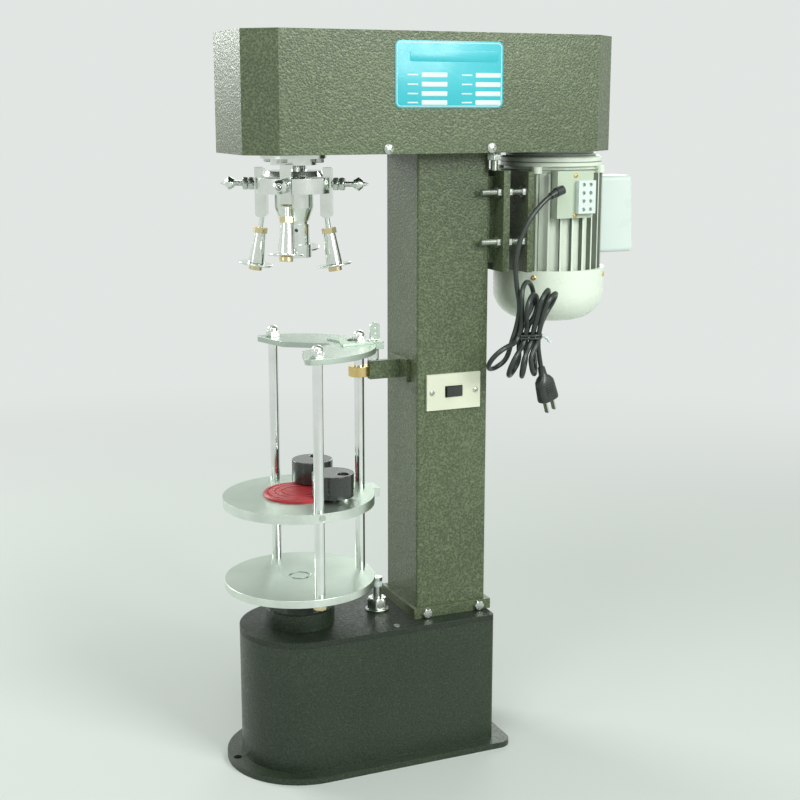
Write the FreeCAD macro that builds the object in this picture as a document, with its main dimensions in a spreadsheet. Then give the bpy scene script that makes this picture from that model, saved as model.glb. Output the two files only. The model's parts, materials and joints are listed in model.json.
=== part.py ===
import FreeCAD, Part
import math
import os
import re
import Sketcher

# Bench bottle capping machine: a belt-driven head with four rollers hangs over a lifting cage.
# Millimetres, +Z up, +X from the lift axis towards the motor, +Y away from the switch side.
# The origin lies on the floor, midway between the two bolt holes of the base flange.
# Pieces are drawn about the lift axis, which is also the spindle's, and then set beside the origin.

sizes = {
    # fits
    "running_clearance": 0.08, "slide_clearance": 0.3, "edge_break": 2,
    # base
    "base_width": 160, "base_rear": 246, "base_height": 184, "base_wall": 4, "base_top_thick": 8,
    "base_corner_radius": 6, "flange_overhang": 20, "flange_thick": 8, "flange_corner_radius": 18,
    "bolt_hole_radius": 5.5, "flange_lip": 6,
    # column
    "column_x": 195, "column_side": 100, "column_wall": 4, "column_corner_radius": 3,
    "foot_stand_out": 6, "foot_height": 14, "foot_bolt_x": 38, "foot_bolt_z": 7, "foot_bolt_flats": 12,
    "foot_bolt_high": 5,
    # head
    "head_bottom": 791, "head_height": 144, "cover_front": 82, "cover_behind_motor": 55, "cover_width": 171,
    "cover_chamfer_x": 36, "cover_chamfer_y": 31, "cover_sheet": 1.5, "head_plate_thick": 12,
    "cover_screw_front": 91, "cover_screw_rear": 229, "cover_screw_head_radius": 6.2,
    "cover_screw_head_high": 3, "cover_screw_radius": 2.5, "cover_screw_long": 16,
    "plate_bolt_behind": 1, "plate_bolt_out": 10, "plate_bolt_long": 23, "plate_bolt_radius": 5,
    "plate_bolt_flats": 16, "plate_bolt_nut": 10,
    "label_x": 171, "label_z": 884.5, "label_long": 144, "label_high": 79, "label_thick": 0.8,
    "label_corner_radius": 7,
    # lifting cage
    "shaft_radius": 17, "shaft_low_end": 14, "shaft_pin_radius": 5,
    "collar_radius": 45, "collar_height": 24, "collar_tube_radius": 24, "collar_tube_long": 54,
    "collar_recess_radius": 23, "collar_recess_deep": 6,
    "disc_radius": 98, "lower_disc_bottom": 237, "lower_disc_thick": 10,
    "disc_screw_radius": 11, "disc_ring_radius": 15, "disc_recess": 2,
    "rod_radius": 6.5, "rod_end_radius": 5, "rod_inset": 13, "rod_spread": 92, "rod_top": 544,
    "rod_nut_flats": 16, "rod_nut_high": 7, "rod_end_spare": 1, "cap_nut_high": 8, "cap_nut_dome": 7,
    # table, pad and stops
    "table_bottom": 345.5, "table_thick": 12, "table_lug_long": 10, "table_lug_width": 26,
    "pad_radius": 46, "pad_thick": 4, "pad_groove_radius": 21.8, "pad_groove_pitch": 9,
    "pad_groove_wide": 1.6, "pad_groove_deep": 1, "stop_radius": 27, "stop_height": 30, "stop_lift": 4.5,
    "stop_bolt_x": 42, "stop_bolt_y": 51, "stop_offset_x": 9, "stop_offset_y": 12.5, "stop_bolt_radius": 4,
    "stop_washer_radius": 9, "stop_sink_radius": 7.5, "stop_sink_deep": 9, "stop_head_radius": 6.7,
    "stop_head_high": 5, "set_screw_radius": 4,
    # neck guide
    "guide_thick": 7, "guide_front": 24, "guide_rim": 16, "notch_deep": 50, "notch_in": 6,
    "notch_half": 38, "guide_corner_radius": 7, "lug_behind_rod": 24, "guide_lug_wide": 22,
    "jaw_thick": 3, "jaw_nose_long": 16, "jaw_half": 28, "jaw_behind_rod": 25, "jaw_before_rod": 19,
    "jaw_arm_low": 24, "jaw_vee_deep": 9, "jaw_corner_radius": 2, "jaw_nut_room": 9.5, "tab_high": 25,
    "tab_width": 13, "tab_thick": 3, "tab_eye_radius": 1.6, "tab_eye_pitch": 7,
    "clamp_behind_rod": 13, "clamp_y": 15.5, "clamp_bolt_radius": 3, "clamp_travel": 7,
    "clamp_head_radius": 5.5, "clamp_head_high": 2, "knob_radius": 7.5, "knob_high": 15,
    "flute_radius": 1.2, "flute_count": 16,
    # guide arm on the column
    "arm_foot_half": 27, "arm_foot_thick": 5, "arm_foot_high": 30, "arm_middle_z": 513,
    "arm_bar_high": 24, "arm_bar_thick": 9, "bush_radius": 14, "bush_high": 13,
    # lift linkage in the base
    "lever_pivot_x": 109, "lever_pivot_z": 67, "lever_rest_turn": 17.8, "lever_thick": 6, "lever_high": 24,
    "lever_rear": 92, "lever_pin_radius": 5, "lever_side_gap": 1.5, "lever_slot_clearance": 1,
    "lever_slot_in": 8, "lever_tie_long": 12, "lever_tie_high": 17, "lever_tie_front": 62,
    "lever_eye_x": 90, "lever_eye_block": 24, "lever_eye_radius": 5,
    "pin_spare": 2, "hanger_eye_radius": 13, "hanger_shank_radius": 8, "hanger_shoulder_radius": 13,
    "hanger_shoulder_high": 6, "hanger_stud_radius": 6, "hanger_stud_up": 32, "hanger_cap_radius": 7,
    "hanger_cap_high": 14, "hanger_nut_flats": 24, "hanger_nut_high": 15, "hanger_washer_radius": 16,
    "hanger_washer_thick": 2.5, "lid_screw_radius": 4.5, "lid_screw_high": 2.5, "lid_screw_inset": 12,
    # switch
    "switch_plate_long": 76, "switch_plate_high": 47, "switch_plate_thick": 4, "switch_z": 487,
    "switch_body_long": 40, "switch_body_high": 26, "switch_body_deep": 28, "switch_body_gap": 0.5,
    "rocker_long": 23, "rocker_high": 13, "rocker_deep": 9, "rocker_gap": 0.9, "rocker_proud": 2.2,
    "rocker_dip": 1.2, "rocker_tilt": 6, "rocker_pin_in": 4, "rocker_pin_radius": 1.2, "rocker_draft": 1.5,
    "plate_screw_inset": 7, "plate_screw_radius": 3.4, "plate_screw_high": 2,
    # spindle and its housing
    "spindle_radius": 12.5, "spindle_top": 905, "press_rod_radius": 5, "housing_flange_radius": 41,
    "housing_flange_thick": 6, "housing_nose_radius": 29, "housing_nose_low": 14, "housing_tube_radius": 32,
    "housing_top_rise": 46, "bearing_radius": 26, "bearing_wide": 15, "bearing_race": 4,
    "bearing_groove": 1,
    "housing_bolt_circle": 35, "housing_bolt_flats": 10, "housing_bolt_high": 5,
    # capping hub, spring bell, press cup and spreader
    "hub_bottom": 743, "hub_high": 19, "hub_radius": 47, "hub_slot_inner": 33.4, "hub_screw_deep": 14,
    "bell_radius": 24, "bell_straight": 18, "bell_waist_z": 709, "sleeve_radius": 18.4, "sleeve_end": 679,
    "sleeve_groove": 4, "sleeve_groove_deep": 1.5, "cup_radius": 21, "cup_high": 16, "cup_floor": 4,
    "cup_lap": 1, "cup_dish_radius": 14, "cup_dish_deep": 2,
    "spreader_low": 763.5, "spreader_high": 6.5, "spreader_radius": 37.2, "spreader_top_radius": 34.7,
    "press_stroke": 5.5, "key_thick": 6, "key_high": 4, "key_bite": 1.5,
    # roller arms
    "arm_turn": 31, "lever_circle": 41, "arm_pivot_z": 747, "arm_screw_z": 754, "arm_depth": 14,
    "arm_wide": 14, "finger_deep": 10.5, "finger_low": 12, "arm_top_rise": 27, "arm_bottom_drop": 34,
    "arm_raise": 16, "arm_top_raise": 5, "arm_taper": 3, "arm_splay": 8.6, "arm_pin_radius": 2,
    "arm_pin_long": 26, "stud_radius": 3.2, "stud_long": 13, "collar_nut_flats": 16, "collar_nut_high": 7,
    "holder_top_radius": 7.3, "holder_low_radius": 10.2, "holder_long": 37.5, "roller_radius": 21.5,
    "roller_thick": 2.4, "roller_round": 1.1, "roller_gap": 0.3, "roller_pin_radius": 4,
    "roller_nut_radius": 8.4, "roller_nut_high": 6, "screw_radius": 3.5, "screw_reach": 80,
    "screw_tip_long": 13,
    "screw_tip_radius": 0.8, "screw_hole_radius": 4.9, "screw_nut_flats": 15, "screw_nut_high": 6,
    "stop_nut_x": 50, "lock_nut_x": 57.5, "cone_nut_radius": 8.5, "cone_nut_base": 5, "cone_nut_x": 75,
    "cone_nut_rear": 6, "cone_nut_front": 5,
    # motor
    "motor_stand_off": 116, "frame_radius": 62, "fin_radius": 69, "frame_bottom": 633, "frame_top": 762,
    "fin_wide": 2.6, "fin_count": 27, "fin_root": 2, "foot_pad_half": 40, "cowl_radius": 74.5,
    "cowl_bottom": 567, "cowl_round": 40, "cowl_sheet": 1.5, "cowl_lap": 4, "vent_radius": 2.6,
    "vent_ring": 24, "vent_count": 12, "shield_radius": 66.5, "shield_step_radius": 62,
    "shield_step_high": 9,
    "shield_high": 22, "ear_radius": 7, "ear_circle": 66, "motor_bore_radius": 34, "rotor_radius": 33,
    "rotor_end_gap": 12,
    "motor_shaft_radius": 7, "motor_shaft_top": 893, "fan_radius": 58,
    "fan_blade_high": 22, "fan_blade_thick": 2.2, "fan_blade_count": 8, "fan_web": 2.5,
    "fan_hub_radius": 16,
    "fan_low": 596, "fan_shaft_end": 6,
    "capacitor_long": 53, "capacitor_wide": 44, "capacitor_top": 756, "capacitor_high": 103,
    "capacitor_flare": 5.5, "capacitor_round": 6,
    "terminal_wide": 52, "terminal_high": 60, "terminal_low": 706, "terminal_in": 58, "terminal_face": 76,
    "terminal_lead": 32, "strip_wide": 25, "strip_high": 42, "strip_deep": 8, "strip_drop": 12,
    "strip_hole_radius": 2.6, "strip_hole_deep": 4, "strip_rows": 4,
    # motor mount
    "bracket_wide": 90, "bracket_high": 110, "bracket_bottom": 650, "bracket_deep": 10,
    "plate_wide": 140, "plate_thick": 9, "plate_high": 128, "plate_bottom": 640, "foot_plate_gap": 26,
    "foot_plate_thick": 8, "foot_plate_high": 128, "foot_plate_bottom": 638,
    "tension_out": 10, "tension_low": 678, "tension_high": 741, "tension_radius": 4, "tension_before": 17,
    "tension_nut_flats": 13, "tension_nut_high": 6,
    # belt drive
    "spindle_pulley_radius": 60, "motor_pulley_radius": 30, "pulley_high": 22, "pulley_z": 866,
    "belt_thick": 5, "belt_high": 12, "pulley_groove": 4, "groove_lean": 0.8,
    # mains lead
    "cord_radius": 3.2, "gland_radius": 6, "gland_long": 12, "plug_tail": 16, "tie_high": 5,
    "tie_stand_out": 1.5, "plug_long": 33, "plug_radius": 12, "plug_flat": 0.7, "pin_long": 15,
    "pin_wide": 5,
    "pin_thick": 1.6, "pin_pitch": 12.7,
}

# sizes that follow from those above
workedOut = {
    # rods, guide and jaw keep their places against the disc's rim
    "rod_circle": "disc_radius - rod_inset",
    "clamp_x": "rod_circle + clamp_behind_rod",
    "guide_lug_rear": "rod_circle + lug_behind_rod",
    "guide_radius": "rod_circle + guide_rim",
    "jaw_rear": "rod_circle + jaw_behind_rod",
    "jaw_shoulder": "rod_circle - jaw_before_rod",
    "jaw_front": "jaw_shoulder - jaw_nose_long",
    # bolts, plates and motor keep their places against the column's sides
    "column_rear": "column_x + column_side / 2",
    "plate_bolt_x": "column_rear + plate_bolt_behind",
    "plate_bolt_y": "column_side / 2 + plate_bolt_out",
    "tension_y": "column_side / 2 + tension_out",
    "tension_start": "column_rear - tension_before",
    "motor_x": "column_rear + motor_stand_off",
    "cover_rear": "motor_x + cover_behind_motor",
}

doc = FreeCAD.newDocument("CappingMachine")
sheet = doc.addObject("Spreadsheet::Sheet", "size")
for row, (name, value) in enumerate({**sizes, **workedOut}.items(), 1):
    sheet.set(f"A{row}", name)
    sheet.set(f"B{row}", f"={value}")
    sheet.setAlias(f"B{row}", name)
doc.recompute()

vector = FreeCAD.Vector
upward = vector(0, 0, 1)
alongX = FreeCAD.Rotation(vector(0, 1, 0), 90)
alongY = FreeCAD.Rotation(vector(1, 0, 0), -90)
againstY = FreeCAD.Rotation(vector(1, 0, 0), 90)
liftAxis = "(base_width / 2 - base_rear) / 2"
placed = {}
nodes = []


# helpers for bound sizes and places
def size(name):
    return float(getattr(sheet, name))


def bind(item, target, text):
    named = re.sub(r"\b[a-z]+(?:_[a-z0-9]+)+\b", lambda word: "size." + word.group(0), text)
    item.setExpression(target, named)


def place(item, x, y, z, turn=None):
    if turn is not None:
        item.Placement = FreeCAD.Placement(vector(0, 0, 0), turn)
    placed[item.Name] = x
    for axis, text in zip("xyz", (x, y, z)):
        if text != "0":
            bind(item, "Placement.Base." + axis, text)
    return item


def turned(item, angle, axis=upward):
    item.Placement = FreeCAD.Placement(item.Placement.Base, FreeCAD.Rotation(axis, 1))
    bind(item, "Placement.Rotation.Angle", angle)
    return item


def cylinder(name, radius, height, x="0", y="0", z="0", turn=None):
    item = doc.addObject("Part::Cylinder", name)
    bind(item, "Radius", radius)
    bind(item, "Height", height)
    return place(item, x, y, z, turn)


def cone(name, lower, upper, height, x="0", y="0", z="0", turn=None):
    item = doc.addObject("Part::Cone", name)
    bind(item, "Radius1", lower)
    bind(item, "Radius2", upper)
    bind(item, "Height", height)
    return place(item, x, y, z, turn)


def block(name, long, wide, high, x="0", y="0", z="0"):
    # x is the low end, y the middle, z the bottom
    item = doc.addObject("Part::Box", name)
    bind(item, "Length", long)
    bind(item, "Width", wide)
    bind(item, "Height", high)
    return place(item, x, f"{y} - ({wide}) / 2", z)


def hexagon(name, flats, height, x="0", y="0", z="0", turn=None):
    item = doc.addObject("Part::Prism", name)
    item.Polygon = 6
    bind(item, "Circumradius", f"({flats}) / sqrt(3)")
    bind(item, "Height", height)
    return place(item, x, y, z, turn)


def fuse(name, *items):
    item = doc.addObject("Part::MultiFuse", name)
    item.Shapes = list(items)
    return item


def cut(name, base, *tools):
    item = doc.addObject("Part::Cut", name)
    item.Base = base
    item.Tool = tools[0] if len(tools) == 1 else fuse(name + "Tools", *tools)
    return item


def common(name, *items):
    item = doc.addObject("Part::MultiCommon", name)
    item.Shapes = list(items)
    return item


def group(name, *items):
    item = doc.addObject("Part::Compound", name)
    item.Links = list(items)
    return item


def node(label, item, turn=None, x="0"):
    if turn is not None:
        turned(item, turn)
    bind(item, "Placement.Base.x", f"{liftAxis} + ({placed.get(item.Name, '0')}) + ({x})")
    item.Label = label
    nodes.append((label, item))


def newBody(name):
    return doc.addObject("PartDesign::Body", name)


def datum(body, role):
    return next(item for item in body.Origin.OriginFeatures if item.Role == role)


def sketchOn(body, role, height="0"):
    sketch = body.newObject("Sketcher::SketchObject", body.Name + "Sketch")
    sketch.AttachmentSupport = (datum(body, role), [""])
    sketch.MapMode = "FlatFace"
    if height != "0":
        bind(sketch, "AttachmentOffset.Base.z", height)
    return sketch


def fix(sketch, geometry, point, x, y):
    # a point's place, from the sketch's own origin
    for kind, text, axis in (("DistanceX", x, -2), ("DistanceY", y, -1)):
        if text == "0":
            sketch.addConstraint(Sketcher.Constraint("PointOnObject", geometry, point, axis))
        else:
            index = sketch.addConstraint(Sketcher.Constraint(kind, geometry, point, 1.0))
            bind(sketch, f"Constraints[{index}]", text)


def polygon(sketch, *corners):
    first = sketch.GeometryCount
    count = len(corners)
    spots = [vector(math.cos(2 * math.pi * i / count), math.sin(2 * math.pi * i / count), 0)
             for i in range(count)]
    for i in range(count):
        sketch.addGeometry(Part.LineSegment(spots[i], spots[(i + 1) % count]), False)
    for i in range(count):
        sketch.addConstraint(Sketcher.Constraint("Coincident", first + i, 2, first + (i + 1) % count, 1))
    for i, (x, y) in enumerate(corners):
        fix(sketch, first + i, 1, x, y)


def rectangle(sketch, left, right, low, high):
    polygon(sketch, (left, low), (right, low), (right, high), (left, high))


def circle(sketch, radius, x="0", y="0"):
    index = sketch.addGeometry(Part.Circle(vector(0, 0, 0), upward, 1), False)
    fix(sketch, index, 3, x, y)
    bind(sketch, f"Constraints[{sketch.addConstraint(Sketcher.Constraint('Radius', index, 1.0))}]", radius)


def roundFront(sketch, half, rear):
    # half round about the lift axis in front, straight sides, square behind
    radius = size("base_width") / 2
    far = size("base_rear")
    arc = sketch.addGeometry(Part.ArcOfCircle(Part.Circle(vector(0, 0, 0), upward, radius),
                                              math.pi / 2, 3 * math.pi / 2), False)
    near = sketch.addGeometry(Part.LineSegment(vector(0, -radius, 0), vector(far, -radius, 0)), False)
    back = sketch.addGeometry(Part.LineSegment(vector(far, -radius, 0), vector(far, radius, 0)), False)
    away = sketch.addGeometry(Part.LineSegment(vector(far, radius, 0), vector(0, radius, 0)), False)
    for one, other in (((arc, 2), (near, 1)), ((near, 2), (back, 1)), ((back, 2), (away, 1)),
                       ((away, 2), (arc, 1)), ((arc, 3), (-1, 1))):
        sketch.addConstraint(Sketcher.Constraint("Coincident", *one, *other))
    for kind, *where in (("PointOnObject", arc, 1, -2), ("PointOnObject", arc, 2, -2), ("Horizontal", near),
                         ("Horizontal", away), ("Vertical", back)):
        sketch.addConstraint(Sketcher.Constraint(kind, *where))
    bind(sketch, f"Constraints[{sketch.addConstraint(Sketcher.Constraint('Radius', arc, radius))}]", half)
    bind(sketch, f"Constraints[{sketch.addConstraint(Sketcher.Constraint('DistanceX', near, 2, far))}]", rear)


def pad(body, sketch, length, midplane=False):
    feature = body.newObject("PartDesign::Pad", body.Name + "Pad")
    feature.Profile = sketch
    feature.Midplane = midplane
    bind(feature, "Length", length)
    return feature


def pocket(body, sketch, depth):
    feature = body.newObject("PartDesign::Pocket", body.Name + "Pocket")
    feature.Profile = sketch
    bind(feature, "Length", depth)
    return feature


def ring(body, feature, count):
    pattern = body.newObject("PartDesign::PolarPattern", body.Name + "Ring")
    pattern.Originals = [feature]
    pattern.Axis = (datum(body, "Z_Axis"), [""])
    pattern.Angle = 360
    bind(pattern, "Occurrences", count)
    body.Tip = pattern
    return pattern


def revolve(name, *corners):
    # corners are radius and height
    body = newBody(name)
    sketch = sketchOn(body, "XZ_Plane")
    polygon(sketch, *corners)
    feature = body.newObject("PartDesign::Revolution", name + "Turn")
    feature.Profile = sketch
    feature.ReferenceAxis = (sketch, ["V_Axis"])
    feature.Angle = 360
    return body


def roundEdges(body, base, radius, wanted):
    doc.recompute()
    picked = [f"Edge{i}" for i, edge in enumerate(base.Shape.Edges, 1) if wanted(edge)]
    feature = body.newObject("PartDesign::Fillet", body.Name + "Round")
    feature.Base = (base, picked)
    bind(feature, "Radius", radius)
    return feature


def along(edge, direction):
    tiny = 1e-6
    return edge.tangentAt(edge.FirstParameter).cross(direction).Length < tiny


def upright(edge):
    return edge.Curve.TypeId == "Part::GeomLine" and along(edge, upward)


def rodPlaces():
    # the three cage rods: one towards the column, one on each side, the front left open
    for turn in ("0", "rod_spread", "-rod_spread"):
        yield f"rod_circle * cos({turn})", f"rod_circle * sin({turn})"


def armTurns():
    for number in range(4):
        yield number + 1, f"{90 * number} - arm_turn"


# base: a welded flange and housing, and a screwed lid
def roundedPlate(name, half, rear, low, high, corner, holes=(), inner=None):
    body = newBody(name)
    sketch = sketchOn(body, "XY_Plane", low)
    roundFront(sketch, half, rear)
    if inner:
        roundFront(sketch, *inner)
    for hole in holes:
        circle(sketch, *hole)
    solid = pad(body, sketch, high)
    doc.recompute()
    limit = solid.Shape.BoundBox.XMax - 1
    roundEdges(body, solid, corner, lambda edge: upright(edge) and edge.CenterOfMass.x > limit)
    return body


def makeBase():
    half = "base_width / 2"
    flange = roundedPlate(
        "BaseFlange", half + " + flange_overhang", "base_rear + flange_overhang", "0", "flange_thick",
        "flange_corner_radius",
        [("bolt_hole_radius", "-(base_width + flange_overhang) / 2"),
         ("bolt_hole_radius", "base_rear + flange_overhang / 2")],
        (half + " - base_wall - flange_lip", "base_rear - base_wall - flange_lip"))
    shell = roundedPlate(
        "BaseShell", half, "base_rear", "flange_thick", "base_height - base_top_thick - flange_thick",
        "base_corner_radius", (), (half + " - base_wall", "base_rear - base_wall"))
    node("base_housing", fuse("BaseHousing", flange, shell))
    node("base_lid", roundedPlate(
        "BaseLid", half, "base_rear", "base_height - base_top_thick", "base_top_thick", "base_corner_radius",
        [("collar_tube_radius",), ("hanger_stud_radius", "lever_pivot_x")]))


def makeColumn():
    body = newBody("ColumnTube")
    sketch = sketchOn(body, "XY_Plane", "base_height")
    for half in ("column_side / 2", "(column_side / 2 - column_wall)"):
        rectangle(sketch, f"column_x - {half}", f"column_x + {half}", f"-{half}", half)
    tube = pad(body, sketch, "head_bottom - base_height")
    edgeAt = size("column_side") / 2 - 1
    roundEdges(body, tube, "column_corner_radius",
               lambda edge: upright(edge) and abs(edge.CenterOfMass.y) > edgeAt)
    hole = block("SwitchHole", "switch_body_long", "column_wall * 2", "switch_body_high",
                 "column_x - switch_body_long / 2", "-column_side / 2", "switch_z - switch_body_high / 2")
    node("column", cut("Column", body, hole))

    # a band of flat bar stands round the column's foot
    band = newBody("ColumnFoot")
    outline = sketchOn(band, "XY_Plane", "base_height")
    for half in ("(column_side / 2 + foot_stand_out)", "(column_side / 2)"):
        rectangle(outline, f"column_x - {half}", f"column_x + {half}", f"-{half}", half)
    pad(band, outline, "foot_height")
    node("column_foot", band)


# lifting cage: shaft, lower disc, three rods and the nuts that hold them
def makeCage():
    low = "base_height"
    tubeEnd = f"{low} - base_top_thick - collar_tube_long"
    bore = "shaft_radius + running_clearance"
    node("lift_collar", revolve(
        "LiftCollar", (bore, tubeEnd), ("collar_tube_radius", tubeEnd), ("collar_tube_radius", low),
        ("collar_radius", low), ("collar_radius", f"{low} + collar_height - edge_break"),
        ("collar_radius - edge_break", f"{low} + collar_height"),
        ("collar_recess_radius", f"{low} + collar_height"),
        ("collar_recess_radius", f"{low} + collar_height - collar_recess_deep"),
        (bore, f"{low} + collar_height - collar_recess_deep")))
    bar = cylinder("ShaftBar", "shaft_radius", "lower_disc_bottom - shaft_low_end", z="shaft_low_end")
    reach = "(shaft_radius + lever_side_gap + lever_thick + pin_spare)"
    pinZ = "lever_pivot_z - lever_pivot_x * tan(lever_rest_turn)"
    hole, pin = [cylinder(name, "shaft_pin_radius", f"2 * {reach}", y=f"-{reach}", z=pinZ, turn=alongY)
                 for name in ("ShaftPinHole", "ShaftPin")]
    node("lift_shaft", group("LiftShaft", cut("ShaftBored", bar, hole), pin))

    # the disc is held to the shaft by one sunk screw
    top = "lower_disc_bottom + lower_disc_thick"
    disc = cylinder("DiscBlank", "disc_radius", "lower_disc_thick", z="lower_disc_bottom")
    recess = cylinder("DiscRecess", "disc_ring_radius", "disc_recess", z=f"{top} - disc_recess")
    through, screw = [cylinder(name, "disc_screw_radius", "lower_disc_thick", z="lower_disc_bottom")
                      for name in ("DiscBore", "DiscScrew")]
    holes = [cylinder("DiscRodHole", "rod_end_radius", "lower_disc_thick", x, y, "lower_disc_bottom")
             for x, y in rodPlaces()]
    node("lower_disc", group("LowerDisc", cut("DiscDrilled", disc, recess, through, *holes), screw))

    rods = []
    nuts = [clampBolt()]
    foot = "lower_disc_thick + rod_nut_high + rod_end_spare"
    head = "guide_thick + cap_nut_high"
    for x, y in rodPlaces():
        rods.append(fuse("GuideRod",
                         cylinder("RodBar", "rod_radius", f"rod_top - ({top})", x, y, top),
                         cylinder("RodFoot", "rod_end_radius", foot, x, y, f"{top} - ({foot})"),
                         cylinder("RodHead", "rod_end_radius", head, x, y, "rod_top")))
        under = "lower_disc_bottom - rod_nut_high"
        nuts.append(cut("RodFootNut", hexagon("FootNutHex", "rod_nut_flats", "rod_nut_high", x, y, under),
                        cylinder("FootNutBore", "rod_end_radius", "rod_nut_high", x, y, under)))
        seat = "rod_top + guide_thick"
        dome = doc.addObject("Part::Sphere", "CapNutDome")
        bind(dome, "Radius", "cap_nut_dome")
        place(dome, x, y, f"{seat} + cap_nut_high")
        cap = fuse("CapNutBody", hexagon("CapNutHex", "rod_nut_flats", "cap_nut_high", x, y, seat), dome)
        bore = cylinder("CapNutBore", "rod_end_radius", "cap_nut_high", x, y, seat)
        nuts.append(cut("RodCapNut", cap, bore))
    node("guide_rods", group("GuideRods", *rods))
    node("rod_nuts", group("RodNuts", *nuts))


def clampBolt():
    # its head holds the jaw down, and the knob is its nut
    shank = cylinder("ClampShank", "clamp_bolt_radius", "knob_high + guide_thick + jaw_thick", "clamp_x",
                     "-clamp_y", "rod_top - knob_high")
    head = cylinder("ClampHead", "clamp_head_radius", "clamp_head_high", "clamp_x", "-clamp_y",
                    "rod_top + guide_thick + jaw_thick")
    return fuse("ClampBolt", shank, head)


# table that clamps to the rods, its pad, and two stops that turn off centre on their bolts
def makeTable():
    top = "table_bottom + table_thick"
    blank = cylinder("TableBlank", "disc_radius", "table_thick", z="table_bottom")
    lug = block("TableLug", "table_lug_long + rod_radius * 2", "table_lug_width", "table_thick",
                "disc_radius - rod_radius * 2", "0", "table_bottom")
    holes = [cylinder("TableRodHole", "rod_radius + running_clearance", "table_thick", x, y, "table_bottom")
             for x, y in rodPlaces()]
    holes += [cylinder("TableBoltHole", "stop_bolt_radius", "table_thick", "stop_bolt_x",
                       f"{side}stop_bolt_y", "table_bottom") for side in ("-", "")]
    screws = []
    for turn in ("rod_spread", "-rod_spread"):
        holes.append(setScrew("SetScrewHole", "rod_inset - rod_radius + edge_break", turn))
        screws.append(setScrew("SetScrew", "rod_inset - rod_radius - edge_break", turn))
    node("table_plate", cut("TablePlate", fuse("TableBody", blank, lug), *holes))

    # ring grooves keep a wet bottle from sliding on the pad
    padTop = f"{top} + pad_thick"
    grooves = []
    floor = f"{padTop} - pad_groove_deep"
    for step in ("2", "1", "0"):
        middle = f"pad_groove_radius + {step} * pad_groove_pitch"
        outer, inner = f"{middle} + pad_groove_wide / 2", f"{middle} - pad_groove_wide / 2"
        grooves += [(outer, padTop), (outer, floor), (inner, floor), (inner, padTop)]
    node("centre_pad", revolve(
        "CentrePad", ("0", top), ("pad_radius", top), ("pad_radius", f"{padTop} - edge_break"),
        ("pad_radius - edge_break", padTop), *grooves, ("0", padTop)))

    sinkZ = f"{top} + stop_lift + stop_height - stop_sink_deep"
    for side, name in (("-", "near_stop"), ("", "far_stop")):
        x, y = "stop_bolt_x", f"{side}stop_bolt_y"
        screws.append(fuse(
            "StopBolt",
            cylinder("StopBoltShank", "stop_bolt_radius", f"{sinkZ} - table_bottom", x, y, "table_bottom"),
            cylinder("StopWasher", "stop_washer_radius", "stop_lift", x, y, top),
            cylinder("StopBoltHead", "stop_head_radius", "stop_head_high", x, y, sinkZ)))
        puck = cylinder("StopPuck", "stop_radius", "stop_height", "stop_bolt_x - stop_offset_x",
                        f"{side}(stop_bolt_y - stop_offset_y)", f"{top} + stop_lift")
        hole = cylinder("StopHole", "stop_bolt_radius + running_clearance", "stop_height", x, y,
                        f"{top} + stop_lift")
        sink = cylinder("StopSink", "stop_sink_radius", "stop_sink_deep", x, y, sinkZ)
        node(name, cut("BottleStop", puck, hole, sink))
    node("table_screws", group("TableScrews", *screws))


def setScrew(name, long, turn):
    # a grub screw, or its hole, from the disc's rim in to a rod
    bar = cylinder(name + "Bar", "set_screw_radius", long, "rod_circle + rod_radius", "0",
                   "table_bottom + table_thick / 2", alongX)
    return turned(group(name, bar), turn)


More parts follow.
